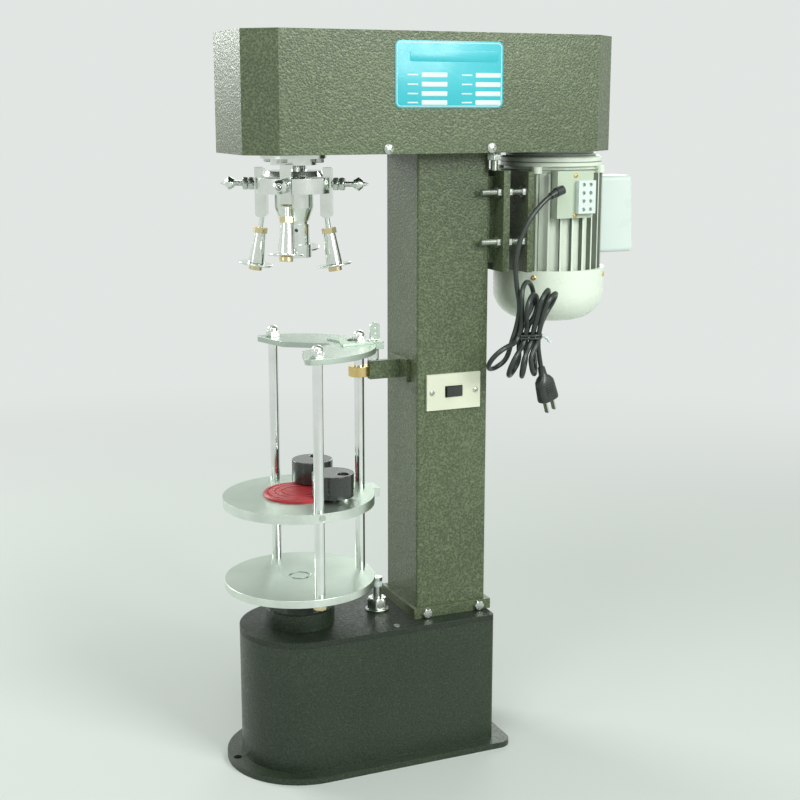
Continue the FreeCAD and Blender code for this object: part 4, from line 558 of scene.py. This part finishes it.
def rubberSkin(name, colour, shade, roughness=0.45, grain=700, depth=0.00003, coat=0.0):
    material, tree, shader = newMaterial(name)
    coords = objectCoords(tree)
    tree.links.new(colourRamp(tree, noiseNode(tree, coords, 18, 5), (0.3, shade), (0.7, colour)),
                   shader.inputs["Base Color"])
    tree.links.new(valueRange(tree, noiseNode(tree, coords, 120), roughness - 0.08, roughness + 0.12),
                   shader.inputs["Roughness"])
    addBump(tree, shader, noiseNode(tree, coords, grain, 3), depth)
    setCoat(shader, coat, 0.12)
    return material


paint = hammeredPaint("hammeredPaint", (0.046, 0.064, 0.034), (0.165, 0.205, 0.108), 400, 0.32)
paintDark = hammeredPaint("hammeredPaintDark", (0.014, 0.024, 0.014), (0.046, 0.066, 0.038), 420, 0.34)
# painted shade: a darker, rougher copy of the base paint, so that the lid's top face looks shaded
shadedLidPaint = hammeredPaint("shadedLidPaint", (0.008, 0.014, 0.008), (0.028, 0.042, 0.024), 420, 0.5)
plate = bareMetal("nickelPlate", (0.80, 0.84, 0.79), (0.66, 0.70, 0.65), 0.16)
rodChrome = bareMetal("rodChrome", (0.86, 0.88, 0.86), (0.76, 0.78, 0.76), 0.08, (700, 700, 60), 0.000004, 0.05)
satin = bareMetal("satinSteel", (0.50, 0.53, 0.49), (0.40, 0.43, 0.39), 0.34, (1400, 1400, 120), 0.00002)
zinc = bareMetal("zincPlate", (0.62, 0.65, 0.60), (0.48, 0.51, 0.47), 0.28, (500, 500, 500))
zincYellow = bareMetal("yellowZinc", (0.72, 0.64, 0.38), (0.60, 0.51, 0.29), 0.26, (500, 500, 500))
brass = bareMetal("turnedBrass", (0.78, 0.62, 0.28), (0.64, 0.48, 0.19), 0.26, (300, 300, 1500))
castIron = bareMetal("castPulley", (0.26, 0.27, 0.27), (0.19, 0.20, 0.20), 0.45, (600, 600, 600), 0.00003)
faced = turnedMetal("facedPlate", (0.50, 0.57, 0.50), (0.42, 0.49, 0.43), liftAxis, roughness=0.40)
rimBright = bareMetal("turnedRim", (0.80, 0.86, 0.80), (0.66, 0.72, 0.66), 0.3, (300, 300, 3000), 0.00001)
motorAlloy = enamel("motorAlloy", (0.80, 0.87, 0.75), (0.70, 0.77, 0.66), 0.3, 420, 0.00008)
cream = enamel("creamEnamel", (0.79, 0.86, 0.75), (0.75, 0.82, 0.71), 0.24)
panelCream = enamel("panelCream", (0.50, 0.58, 0.46), (0.44, 0.52, 0.41), 0.42, coat=0.1)
# painted shade: a dark enamel on the sides of the motor's fins and on the end shield's seam rings, standing in for
# the shade there
paintedShade = enamel("paintedShadeLines", (0.20, 0.23, 0.19), (0.13, 0.15, 0.12), 0.5, 420, 0.00008, 0)
whitePlastic = enamel("whitePlastic", (0.68, 0.76, 0.73), (0.665, 0.745, 0.715), 0.3, 500, 0.00003, 0.1)
ivory = enamel("switchIvory", (0.76, 0.78, 0.63), (0.70, 0.72, 0.57), 0.35, 500, 0.00003, 0.1)
red = rubberSkin("redPad", (0.46, 0.026, 0.034), (0.36, 0.017, 0.023), 0.42)
black = rubberSkin("blackRubber", (0.022, 0.028, 0.024), (0.014, 0.018, 0.016), 0.22, coat=0.6)
blackPlastic = rubberSkin("blackPlastic", (0.028, 0.034, 0.030), (0.018, 0.022, 0.020), 0.38, coat=0.15)
sheath = rubberSkin("cordSheath", (0.024, 0.034, 0.028), (0.014, 0.022, 0.017), 0.36, 900, 0.00002, 0.15)
cyan = enamel("labelCyan", (0.035, 0.48, 0.56), (0.030, 0.44, 0.52), 0.35, 700, 0.00001, 0.15)
labelWhite = enamel("labelWhite", (0.66, 0.74, 0.74), (0.62, 0.70, 0.70), 0.4, 700, 0.00001, 0.1)
print("finishes made")


# mains lead: out of the gland, then folded eight times through a tie and down to its plug
lead = {
    "route": [(334, -80.5, 743), (317, -84, 738), (298, -87, 725), (281, -89, 706), (268, -89, 681),
              (262, -90, 650), (264, -92, 622), (269, -93, 598)],
    "diameter": 0.0064,
    "waist": (281, -95, 560),
    "grip": 11,            # how far the strands run on before they spread
    "lean": 0.75,
    # where each strand passes the waist: across the view, and into it
    "slots": [(-17, 1), (-10.5, -4), (-10.5, 4), (-3.5, -4), (-3.5, 4), (3.5, -4), (4, 4), (10.5, -4), (11, 4)],
    # the folds in turn, low and high: outermost point, and the vector to one side
    "folds": [((226, -91, 523), (8, 14, -11)), ((281, -88, 628), (15, 12, -1)),
              ((253, -95, 511), (9, 14, -7)), ((286, -97, 613), (13.5, 12, -1)),
              ((272, -95, 508), (9, 14, -2)), ((308, -95, 617), (10, 14, -5)),
              ((291, -94, 510), (10, 14, 1)), ((319, -95, 612), (9, 14, -6))],
    "bend": [(1.0, -0.5), (1.0, 0.41), (0.41, 1.0)],   # half of a fold, in widths aside and outwards
    "tail": [(297, -95, 530), (300, -95, 516)],
}
viewRight = Vector((0.918, -0.397, 0))
viewInto = Vector((0.397, 0.918, 0))


def hankPoints():
    waist = Vector(lead["waist"])
    through = [waist + viewRight * across + viewInto * into for across, into in lead["slots"]]
    aims = [lead["route"][-1]] + [apex for apex, _ in lead["folds"]] + [lead["tail"][0]]
    points = []
    for i, spot in enumerate(through):
        for aim, rise in ((aims[i], 1 if i % 2 == 0 else -1), (aims[i + 1], -1 if i % 2 == 0 else 1)):
            toward = (Vector(aim) - spot).normalized()
            points.append(spot + lead["grip"] * (toward * lead["lean"] + Vector((0, 0, rise)) * (1 - lead["lean"])))
        if i < len(lead["folds"]):
            apex, half = (Vector(v) for v in lead["folds"][i])
            wide = half.length
            side = half.normalized()
            up = (apex - waist) - side * (apex - waist).dot(side)
            up.normalize()
            centre = apex - up * wide
            if (spot - through[i + 1]).dot(side) < 0:
                side = -side
            points += [centre + side * wide * a + up * wide * b for a, b in lead["bend"]]
            points += [centre - side * wide * a + up * wide * b for a, b in reversed(lead["bend"])]
    return points + [Vector(point) for point in lead["tail"]]


def curveLine(points, name="line"):
    # a smooth spline that stays inside its control points
    data = bpy.data.curves.new(name, "CURVE")
    data.dimensions = "3D"
    data.resolution_u = 10
    spline = data.splines.new("NURBS")
    spline.points.add(len(points) - 1)
    for point, place in zip(spline.points, points):
        point.co = (*place, 1)
    spline.order_u = 3
    spline.use_endpoint_u = True
    return data


def readLine(data):
    # the points along a spline that has no bevel
    probe = bpy.data.objects.new("probe", data)
    mesh = bpy.data.meshes.new_from_object(probe)
    line = [vertex.co.copy() for vertex in mesh.vertices]
    bpy.data.objects.remove(probe)
    bpy.data.meshes.remove(mesh)
    return line


def makeLead():
    points = [fromLift(*point) for point in lead["route"] + hankPoints()]
    line = readLine(curveLine(points))
    data = curveLine(points, "mainsLead")
    data.bevel_depth = lead["diameter"] / 2
    data.bevel_resolution = 5
    data.use_fill_caps = True
    data.materials.append(sheath)
    cord = bpy.data.objects.new("mainsLead", data)
    scene.collection.objects.link(cord)
    measured = sum((b - a).length for a, b in zip(line, line[1:]))
    print("lead along its line", round(measured, 4), "m")
    return cord, points[0], line, measured


strainRelief = {"long": 0.024, "radius": 0.0056, "taper": 0.0017, "ring": 0.00045, "rings": 38, "steps": 6}


def makeStrainRelief(line):
    # a ribbed sleeve where the lead leaves the gland
    points, gone = [line[0]], 0
    for a, b in zip(line, line[1:]):
        gone += (b - a).length
        if gone > strainRelief["long"]:
            break
        points.append(b)
    bm = bmesh.new()

    def section(share):
        ring = strainRelief["ring"] * (math.sin(share * strainRelief["rings"]) > 0)
        return roundSection(strainRelief["radius"] - strainRelief["taper"] * share + ring, 20)

    dense = [points[0].copy()]
    for a, b in zip(points, points[1:]):
        dense += [a.lerp(b, (t + 1) / strainRelief["steps"]) for t in range(strainRelief["steps"])]
    sweep(bm, dense, section)
    return linkMesh("leadSleeve", bm, blackPlastic, 40)


leadTie = {"wide": 0.0158, "deep": 0.0098, "square": 2.6, "wraps": (-0.0016, 0.0016), "wave": 0.0006,
           "wire": 0.0015, "end": 0.0016, "endLong": 0.0105, "endDrop": 0.0085, "endTurn": 22,
           "endTwist": 0.0009, "endOut": 0.0008, "paleFrom": 0.0006}


def makeTie():
    # a wound wire tie round the waist with its twisted end standing out at the right
    bm = bmesh.new()
    centre = fromLift(*lead["waist"])
    wide = leadTie["wide"]
    for k, rise in enumerate(leadTie["wraps"]):
        ring = []
        for i, (a, b) in enumerate(ovalSection(wide, leadTie["deep"], leadTie["square"], 64)):
            wave = leadTie["wave"] * math.sin(2 * math.pi * i / 64 + k)
            ring.append(centre + viewRight * a + viewInto * b + Vector((0, 0, rise + wave)))
        sweep(bm, ring, lambda share: roundSection(leadTie["wire"], 12), closed=True)
    start = centre + viewRight * (wide + leadTie["endOut"])
    twist = []
    for i in range(40):
        t = i / 39
        angle = t * leadTie["endTurn"]
        twist.append(start + viewRight * (leadTie["endLong"] * t) + Vector((0, 0, -leadTie["endDrop"] * t * t))
                     + Vector((0, math.cos(angle), math.sin(angle))) * leadTie["endTwist"])
    sweep(bm, twist, lambda share: roundSection(leadTie["end"], 8))
    for face in bm.faces:
        face.material_index = int((face.calc_center_median() - centre).dot(viewRight) > wide + leadTie["paleFrom"])
    return linkMesh("leadTie", bm, [sheath, labelWhite], 50)


plug = {"top": (300, -95, 518), "aim": (9, 0, -34), "body": 0.035, "wide": 0.0142, "deep": 0.0094,
        "tail": 0.011, "turn": -38, "collarWide": 0.0044, "collarThick": 0.0022, "collarHigh": 0.0012,
        "pinLong": 0.0155, "pinWide": 0.0034, "pinThick": 0.0011, "pinPitch": 0.0127, "pinTaper": 0.62,
        "ribs": 5, "ribStart": 0.014, "ribPitch": 0.0032, "ribOut": 0.0087, "ribRadius": 0.0007}


def makePlug():
    # flat moulded two-pin plug: sleeve, waisted grip, ribs and flat pins
    bm = bmesh.new()
    start = fromLift(*plug["top"])
    aim = Vector(plug["aim"]).normalized()
    across = (viewRight - aim * viewRight.dot(aim)).normalized()
    across.rotate(Quaternion(aim, math.radians(plug["turn"])))
    out = aim.cross(across)
    rows = []
    stations = [(0.0, 0.0046, 0.0046), (0.004, 0.0050, 0.0048), (plug["tail"], 0.0058, 0.0054),
                (plug["tail"] + 0.003, 0.0088, 0.0070), (plug["tail"] + 0.008, 0.0122, 0.0086),
                (plug["tail"] + 0.014, 0.0132, 0.0086), (plug["tail"] + 0.021, plug["wide"], 0.0078),
                (plug["tail"] + plug["body"] - 0.004, plug["wide"], plug["deep"]),
                (plug["tail"] + plug["body"] - 0.0012, plug["wide"] - 0.0004, plug["deep"] - 0.0004),
                (plug["tail"] + plug["body"], plug["wide"] - 0.0016, plug["deep"] - 0.0016)]
    for along, wide, deep in stations:
        power = 2.0 if along < plug["tail"] + 0.001 else 3.4
        rows.append([bm.verts.new(start + aim * along + across * a + out * b)
                     for a, b in ovalSection(wide, deep, power, 40)])
    joinRows(bm, rows)
    bm.faces.new(rows[0][::-1])
    bm.faces.new(rows[-1])
    end = start + aim * (plug["tail"] + plug["body"])
    for sign in (-1, 1):
        base = end + across * sign * plug["pinPitch"] / 2
        for low, high, wide, thick, material in (
                (-0.001, plug["collarHigh"], plug["collarWide"], plug["collarThick"], 0),
                (plug["collarHigh"], plug["pinLong"], plug["pinWide"], plug["pinThick"], 1)):
            corners = [(wide, thick), (-wide, thick), (-wide, -thick), (wide, -thick)]
            levels = [(low, 1), (high - plug["collarHigh"], 1), (high, plug["pinTaper"])]
            ring = [[bm.verts.new(base + aim * z + across * b * shrink + out * a * shrink) for a, b in corners]
                    for z, shrink in levels]
            joinRows(bm, ring, material)
            bm.faces.new(ring[0][::-1]).material_index = material
            bm.faces.new(ring[-1]).material_index = material
    # grip ribs on both broad faces
    for sign in (-1, 1):
        for k in range(plug["ribs"]):
            along = plug["tail"] + plug["ribStart"] + plug["ribPitch"] * k
            middle = start + aim * along + out * sign * plug["ribOut"]
            rib = [middle + across * x for x in (-0.0062, -0.003, 0, 0.003, 0.0062)]
            sweep(bm, rib, lambda share: roundSection(plug["ribRadius"], 8))
    bmesh.ops.recalc_face_normals(bm, faces=bm.faces)
    return linkMesh("mainsPlug", bm, [blackPlastic, plate], 35)


makeCamera()
makeSky()
makeFloor()
makeLights()
print("camera, light and floor made")

cord, exitPoint, line, measured = makeLead()
finishPiece(cord, "machine", "black_rubber", "cord_lead", "cord_hank")
sleeve = finishPiece(makeStrainRelief(line), "machine", "black_plastic")
tie = finishPiece(makeTie(), "machine", "black_rubber", "hank_tie")
plugPiece = finishPiece(makePlug(), "machine", "black_plastic", "mains_plug")
print("mains lead laid")


# screws of the base, cover, switch plate and spindle housing, and the head plate's two bolts
screws = {
    # places in millimetres; heads by flats or radius, then height; nuts by flats, height and bore
    "footX": (157, 233), "footY": 56, "footZ": 191, "footHead": (0.012, 0.005),
    "lidX": 109, "lidY": 68, "lidZ": 184, "lidHead": (0.0045, 0.0025),
    "coverX": (91, 229), "coverY": 85.5, "coverZ": 797, "coverHead": (0.0062, 0.003),
    "switchX": (164, 226), "switchY": -54, "switchZ": 487, "switchHead": (0.0034, 0.002),
    "headX": 246, "headY": 60, "headZ": 781, "headNut": (0.016, 0.010, 0.0049),
    "headThread": (0.014, 0.005, 0.0012),     # length, radius and pitch, as for every thread
    "housingOut": 0.035, "housingZ": 785, "housingHead": (0.010, 0.005),
}
bm = bmesh.new()
for x in screws["footX"]:
    for side in (-1, 1):
        hexHead(bm, fromLift(x, side * screws["footY"], screws["footZ"]), (0, side, 0), *screws["footHead"])
for side in (-1, 1):
    screwHead(bm, fromLift(screws["lidX"], side * screws["lidY"], screws["lidZ"]), (0, 0, 1), *screws["lidHead"], 35)
for i, (x, side) in enumerate((x, side) for x in screws["coverX"] for side in (-1, 1)):
    screwHead(bm, fromLift(x, side * screws["coverY"], screws["coverZ"]), (0, side, 0), *screws["coverHead"],
              20 + 50 * i, 2)
for x in screws["switchX"]:
    screwHead(bm, fromLift(x, screws["switchY"], screws["switchZ"]), (0, -1, 0), *screws["switchHead"], 15 + x, 2)
for side in (-1, 1):
    place = (screws["headX"], side * screws["headY"])
    hexNut(bm, fromLift(*place, screws["headZ"]), (0, 0, 1), *screws["headNut"])
    thread(bm, fromLift(*place, screws["headZ"] + 1), (0, 0, -1), *screws["headThread"])
for k in range(4):
    place = fromLift(0, 0, screws["housingZ"]) + turnedOut(45 + 90 * k) * screws["housingOut"]
    hexHead(bm, place, (0, 0, -1), *screws["housingHead"])
finishPiece(linkMesh("machineScrews", bm, zinc, 35), "machine", "zinc_steel", "fasteners")

# hanger of the lift lever: washer, nut, stud and domed end
hanger = {"x": 109, "nutZ": 186.5, "nut": (0.024, 0.015, 0.0059), "studZ": 200, "stud": (0.0165, 0.006, 0.0013)}
bm = bmesh.new()
lathe(bm, [(0.0062, 0.1840), (0.0155, 0.1840), (0.016, 0.1846), (0.016, 0.1860), (0.0152, 0.1865), (0.0062, 0.1865)],
      fromLift(hanger["x"], 0, 0))
hexNut(bm, fromLift(hanger["x"], 0, hanger["nutZ"]), (0, 0, 1), *hanger["nut"])
thread(bm, fromLift(hanger["x"], 0, hanger["studZ"]), (0, 0, 1), *hanger["stud"], 1)
lathe(bm, [(0.0060, 0.2170), (0.0070, 0.2176), (0.0071, 0.2245), (0.0062, 0.2280), (0.0040, 0.2298), (0, 0.2302)],
      fromLift(hanger["x"], 0, 0), material=2)
finishPiece(linkMesh("hangerNut", bm, [zinc, brass, labelWhite], 40), "machine", "zinc_steel")

# lifting cage: foot nuts and domed nuts on the three rods, and the clamp's bolt
rods = {"circle": 0.085, "angles": (0, 92, -92), "flats": 0.016, "footZ": 230, "foot": (0.007, 0.0064),
        "domeZ": 551, "clamp": (98, -15.5), "headZ": 554, "head": (0.0055, 0.002, 20), "boltZ": 530,
        "bolt": (0.0235, 0.00295, 0.0008)}
bm = bmesh.new()
for angle in rods["angles"]:
    out = turnedOut(angle) * rods["circle"]
    hexNut(bm, fromLift(0, 0, rods["footZ"]) + out, (0, 0, 1), rods["flats"], *rods["foot"], 1)
    corner = rods["flats"] / math.sqrt(3)
    lathe(bm, [(0.0062, 0), (0.0077, 0), (corner, 0.0006), (corner, 0.0072), (0.0078, 0.0080), (0.0070, 0.0080)],
          fromLift(0, 0, rods["domeZ"]) + out, steps=72, flats=rods["flats"])
    lathe(bm, [(0.0071, 0.0079), (0.0070, 0.0100), (0.0060, 0.0122), (0.0042, 0.0140), (0.0020, 0.0149), (0, 0.0151)],
          fromLift(0, 0, rods["domeZ"]) + out)
screwHead(bm, fromLift(*rods["clamp"], rods["headZ"]), (0, 0, 1), *rods["head"])
thread(bm, fromLift(*rods["clamp"], rods["boltZ"]), (0, 0, 1), *rods["bolt"])
finishPiece(linkMesh("cageNuts", bm, [plate, zincYellow], 35), "cage", "polished_steel", "rod_nuts")

# table: stop bolts with washers and slotted heads, and threaded set screws
tableBolts = {"x": 42, "y": 51, "headZ": 383.4, "head": (0.0067, 0.0046), "setTurn": 92, "setZ": 351.5,
              "setOut": 0.0915, "setScrew": (0.0075, 0.004, 0.0009)}
bm = bmesh.new()
for side in (-1, 1):
    bolt = fromLift(tableBolts["x"], side * tableBolts["y"], 0)
    lathe(bm, [(0.0046, 0.3575), (0.0088, 0.3575), (0.009, 0.3579), (0.009, 0.3616), (0.0086, 0.3619),
               (0.0046, 0.3619)], bolt)
    lathe(bm, [(0.004, 0.3560), (0.004, 0.3830), (0.0067, 0.3830), (0.0067, 0.3836)], bolt)
    screwHead(bm, bolt + Vector((0, 0, tableBolts["headZ"] / 1000)), (0, 0, 1), *tableBolts["head"], 70 + 40 * side)
    out = turnedOut(side * tableBolts["setTurn"])
    thread(bm, fromLift(0, 0, tableBolts["setZ"]) + out * tableBolts["setOut"], out, *tableBolts["setScrew"])
finishPiece(linkMesh("tableScrews", bm, zinc, 35), "table", "satin_steel", "table_screws")

# tension studs of the motor: threads and nuts on both sides of the plates
tension = {"y": 60, "levels": (678, 741), "start": 228, "stud": (0.070, 0.004, 0.00125), "nuts": (249, 264, 284),
           "nut": (0.013, 0.006, 0.0039)}
bm = bmesh.new()
for side in (-1, 1):
    for z in tension["levels"]:
        thread(bm, fromLift(tension["start"], side * tension["y"], z), (1, 0, 0), *tension["stud"])
        for x in tension["nuts"]:
            hexNut(bm, fromLift(x, side * tension["y"], z), (1, 0, 0), *tension["nut"])
finishPiece(linkMesh("tensionStuds", bm, zinc, 35), "machine", "zinc_steel", "tension_bolts")

# radial adjusting screws of the capping hub: thread, two nuts, cone nut and point
adjusting = {"z": 754, "turn": -31, "from": 0.0194, "thread": (0.0606, 0.0035, 0.0010), "nuts": (0.050, 0.0575),
             "nut": (0.015, 0.006, 0.0034), "cone": 0.075, "point": 0.0798}
bm = bmesh.new()
hub = fromLift(0, 0, adjusting["z"])
for k in range(4):
    out = turnedOut(90 * k + adjusting["turn"])
    thread(bm, hub + out * adjusting["from"], out, *adjusting["thread"])
    for near in adjusting["nuts"]:
        hexNut(bm, hub + out * near, out, *adjusting["nut"], 1)
    lathe(bm, [(0.0034, 0), (0.0050, 0), (0.0066, 0.0030), (0.0084, 0.0058), (0.0085, 0.0066), (0.0066, 0.0086),
               (0.0050, 0.0108), (0.0036, 0.0110)], hub + out * adjusting["cone"], out)
    lathe(bm, [(0.0035, 0), (0.0033, 0.0052), (0.0024, 0.0088), (0.0008, 0.0130), (0, 0.0133)],
          hub + out * adjusting["point"], out)
finishPiece(linkMesh("adjustingScrews", bm, [plate, zinc], 35), "spindle", slotOf("adjusting_screws"),
            "adjusting_screws")

# label on the cover: a blue plate with a pale line, a bare title bar and two columns of white fields
label = {"x": 171, "y": -85.5, "z": 884.5, "long": 0.144, "high": 0.079, "round": 0.007,
         "outline": (0.140, 0.075, 0.0055), "inline": (0.1384, 0.0734, 0.0048),
         "title": (0.118, 0.013, 0.003), "titlePlace": (0.006, 0, 0.0215),
         "columns": (-0.0205, 0.0515), "rows": (-0.0005, -0.0115, -0.0225, -0.0330),
         "field": (0.034, 0.0056, 0.0008), "caption": (0.014, 0.0016, 0.0004), "captionOff": 0.0285}
bm = bmesh.new()
middle = fromLift(label["x"], label["y"], label["z"])
raisedShape(bm, middle, roundedRect(label["long"], label["high"], label["round"]), -0.0004, 0.0008, 0.00025)
raisedFrame(bm, middle, roundedRect(*label["outline"]), roundedRect(*label["inline"]), 0.0007, 0.00092, 1)
raisedShape(bm, middle + Vector(label["titlePlace"]), roundedRect(*label["title"]), 0.0007, 0.00095, 0.0001, 2)
for x in label["columns"]:
    for z in label["rows"]:
        raisedShape(bm, middle + Vector((x, 0, z)), roundedRect(*label["field"]), 0.0007, 0.00095, 0.0001, 1)
        raisedShape(bm, middle + Vector((x - label["captionOff"], 0, z)), roundedRect(*label["caption"]),
                    0.0007, 0.0009, 0.0001, 1)
finishPiece(linkMesh("coverLabel", bm, [cyan, labelWhite, cyan], 40), bodyOf("nameplate"), slotOf("nameplate"),
            "nameplate")

# knurled clamp knob: ridges round the rim between two plain bands
knob = {"x": 98, "y": -15.5, "bore": 0.0031, "ridges": 36, "ridgeDeep": 0.00055}
bm = bmesh.new()
centre = fromLift(knob["x"], knob["y"], 0)
count = knob["ridges"] * 4
rows = []
for radius, z, cut in ((knob["bore"], 0.5292, 0), (0.0036, 0.529, 0), (0.0066, 0.529, 0), (0.0073, 0.5298, 0),
                       (0.0073, 0.5310, 0), (0.0075, 0.5316, 1), (0.0075, 0.5414, 1), (0.0073, 0.5420, 0),
                       (0.0073, 0.5432, 0), (0.0066, 0.544, 0), (0.0036, 0.544, 0), (knob["bore"], 0.5438, 0)):
    row = []
    for i in range(count):
        angle = 2 * math.pi * i / count
        reach = radius - cut * knob["ridgeDeep"] * (0.5 + 0.5 * math.cos(angle * knob["ridges"]))
        row.append(bm.verts.new(centre + Vector((reach * math.cos(angle), reach * math.sin(angle), z))))
    rows.append(row)
joinRows(bm, rows + rows[:1])
finishPiece(linkMesh("knurledKnob", bm, plate, 50), bodyOf("clamp_knob"), slotOf("clamp_knob"), "clamp_knob")

# weld beads where the motor's bracket and the head meet the column
welds = {"bracketX": 245.6, "bracketY": 45.8, "bracketZ": (652, 704, 758), "bracketRadius": 0.0026,
         "headX": (147, 195, 243), "headY": 50.6, "headZ": 790.2, "frontX": 144.4, "frontY": (-48, 0, 48),
         "headRadius": 0.0020}
weldBead("bracketWelds", [[fromLift(welds["bracketX"], side * welds["bracketY"], z) for z in welds["bracketZ"]]
                          for side in (-1, 1)], welds["bracketRadius"])
near, between, far = welds["headX"]
weldBead("headWelds", [[fromLift(x, -welds["headY"], welds["headZ"]) for x in (near, between, far)],
                       [fromLift(welds["frontX"], y, welds["headZ"]) for y in welds["frontY"]],
                       [fromLift(x, welds["headY"], welds["headZ"]) for x in (near, far)]], welds["headRadius"])

# register ring between the motor's end shield and the head, and the shield's two seams, drawn as thin rings of
# painted shade
shield = {"seams": (0.7660, 0.7758), "seamHigh": 0.0012, "inner": 0.0650, "outer": 0.0668}
bm = bmesh.new()
lathe(bm, [(0.0300, 0.7842), (0.0590, 0.7842), (0.0600, 0.7850), (0.0600, 0.7866), (0.0565, 0.7872), (0.0565, 0.7906),
           (0.0300, 0.7906), (0.0300, 0.7842)], motorAxis, steps=96)
for low in shield["seams"]:
    high = low + shield["seamHigh"]
    lathe(bm, [(shield["inner"], low), (shield["outer"], low), (shield["outer"], high), (shield["inner"], high),
               (shield["inner"], low)], motorAxis, steps=96, material=1)
finishPiece(linkMesh("shieldRing", bm, [motorAlloy, paintedShade], 30), "machine", slotOf("motor_end_shield"))

# cowl screws
cowlScrew = {"turns": (-134, -44, 46, 136), "out": 0.0744, "z": 0.6285, "head": (0.0034, 0.002)}
bm = bmesh.new()
for turn in cowlScrew["turns"]:
    out = turnedOut(turn)
    screwHead(bm, motorAxis + out * cowlScrew["out"] + Vector((0, 0, cowlScrew["z"])), out, *cowlScrew["head"], turn)
finishPiece(linkMesh("cowlScrews", bm, brass, 35), "machine", "brass")

# the terminal strip's two fixing screws, above and below it
stripScrew = {"x": 355.4, "y": -75.8, "levels": (760.2, 709.2), "turns": (25, 110), "head": (0.0029, 0.0018)}
bm = bmesh.new()
for z, turn in zip(stripScrew["levels"], stripScrew["turns"]):
    screwHead(bm, fromLift(stripScrew["x"], stripScrew["y"], z), (0, -1, 0), *stripScrew["head"], turn, 2)
finishPiece(linkMesh("stripScrews", bm, brass, 35), bodyOf("terminal_panel"), "brass")

# set screw in the bell's sleeve
sleeveScrew = {"z": 698, "out": 0.0182, "aside": 0.2, "head": (0.0023, 0.0007, 40)}
bm = bmesh.new()
out = (viewRight * sleeveScrew["aside"] - viewInto).normalized()
screwHead(bm, fromLift(0, 0, sleeveScrew["z"]) + out * sleeveScrew["out"], out, *sleeveScrew["head"])
finishPiece(linkMesh("sleeveScrew", bm, blackPlastic, 35), bodyOf("spring_bell"), "black_plastic")
print("screws, nuts and label made")

# nodes that keep their form, with their edges broken
finishes = {
    paint: "column column_foot belt_cover guide_arm motor_bracket motor_foot",
    paintDark: "base_housing head_plate lift_collar",
    shadedLidPaint: "base_lid",
    faced: "guide_plate neck_jaw",
    plate: "capping_hub",
    black: "near_stop far_stop",
    motorAlloy: "motor_end_shield",
    brass: "guide_bush",
    ivory: "switch_plate",
    whitePlastic: "capacitor_box",
    zinc: "lever_hanger lift_lever",
}
broken = {"base_housing": 0.0009, "belt_cover": 0.0010, "column": 0.0008, "near_stop": 0.0012, "far_stop": 0.0012,
          "capacitor_box": 0.0012, "switch_plate": 0.0009, "guide_plate": 0.0007}
for material, names in finishes.items():
    for name in names.split():
        softEdges(name, material, broken.get(name, 0.0004))

# nodes of two or three colours: where the second and third begin, in millimetres
colourEdges = {"nutBelow": -1.2, "collarNut": (39.2, 46.8), "stem": (6, 30), "discRim": 96.5, "motorX": 361,
               "finFlank": (63.2, 68), "finSpan": (634, 761), "panelFace": -76.3, "stripEdge": 349}


def nutFaces(k):
    # the nuts at both ends of a roller's holder, found along the stud from the roller's middle
    spots = [vertex.co - liftAxis for vertex in nodes[f"roller_{k}"].data.vertices]
    middle = sum(spots, Vector()) / len(spots) * 1000
    low, high = colourEdges["stem"]
    above = [(vertex.co - liftAxis) * 1000 for vertex in nodes[f"roller_arm_{k}"].data.vertices]
    above = [spot for spot in above if low < spot.z - middle.z < high]
    up = (sum(above, Vector()) / len(above) - middle).normalized()
    bottom, top = colourEdges["collarNut"]

    def isNut(spot):
        along = (spot - middle).dot(up)
        return int(along < colourEdges["nutBelow"] or bottom < along < top)

    return isNut


def rimFaces(spot):
    return int(math.hypot(spot.x, spot.y) > colourEdges["discRim"])


def finShadeFaces(spot):
    # the sides of the motor's fins, which take painted shade
    away = math.hypot(spot.x - colourEdges["motorX"], spot.y)
    inner, outer = colourEdges["finFlank"]
    low, high = colourEdges["finSpan"]
    return int(inner < away < outer and low < spot.z < high)


def panelFaces(spot):
    # 0 is the panel, 1 the gland, 2 the terminal strip
    if spot.y > colourEdges["panelFace"]:
        return 0
    return 1 if spot.x < colourEdges["stripEdge"] else 2


for k in range(1, 5):
    softEdges(f"roller_arm_{k}", plate, 0.0004, accents=[zincYellow], where=nutFaces(k))
    softEdges(f"roller_{k}", plate, 0.0003)
for name in ("lower_disc", "table_plate"):
    softEdges(name, faced, 0.0007, accents=[rimBright], where=rimFaces)
# the sides of the fins take the painted shade
softEdges("motor_frame", motorAlloy, 0.0004, accents=[paintedShade], where=finShadeFaces)
softEdges("terminal_panel", panelCream, 0.0005, accents=[blackPlastic, whitePlastic], where=panelFaces)

# nodes that keep their mesh too, and those whose looks are the pieces above
dressed = {
    rodChrome: "guide_rods",
    red: "centre_pad",
    cream: "fan_cowl",
    satin: "lift_shaft spindle_shaft spindle_bearings motor_rotor",
    plate: "spindle_housing spring_bell press_cup spreader_cone clamp_knob",
    castIron: "spindle_pulley motor_pulley",
    black: "drive_belt",
    blackPlastic: "cooling_fan rocker",
    zinc: "fasteners rod_nuts table_screws tension_bolts adjusting_screws",
    cyan: "nameplate",
    sheath: "cord_lead cord_hank hank_tie mains_plug",
}
for material, names in dressed.items():
    for name in names.split():
        dressNode(name, material)
print("nodes dressed")
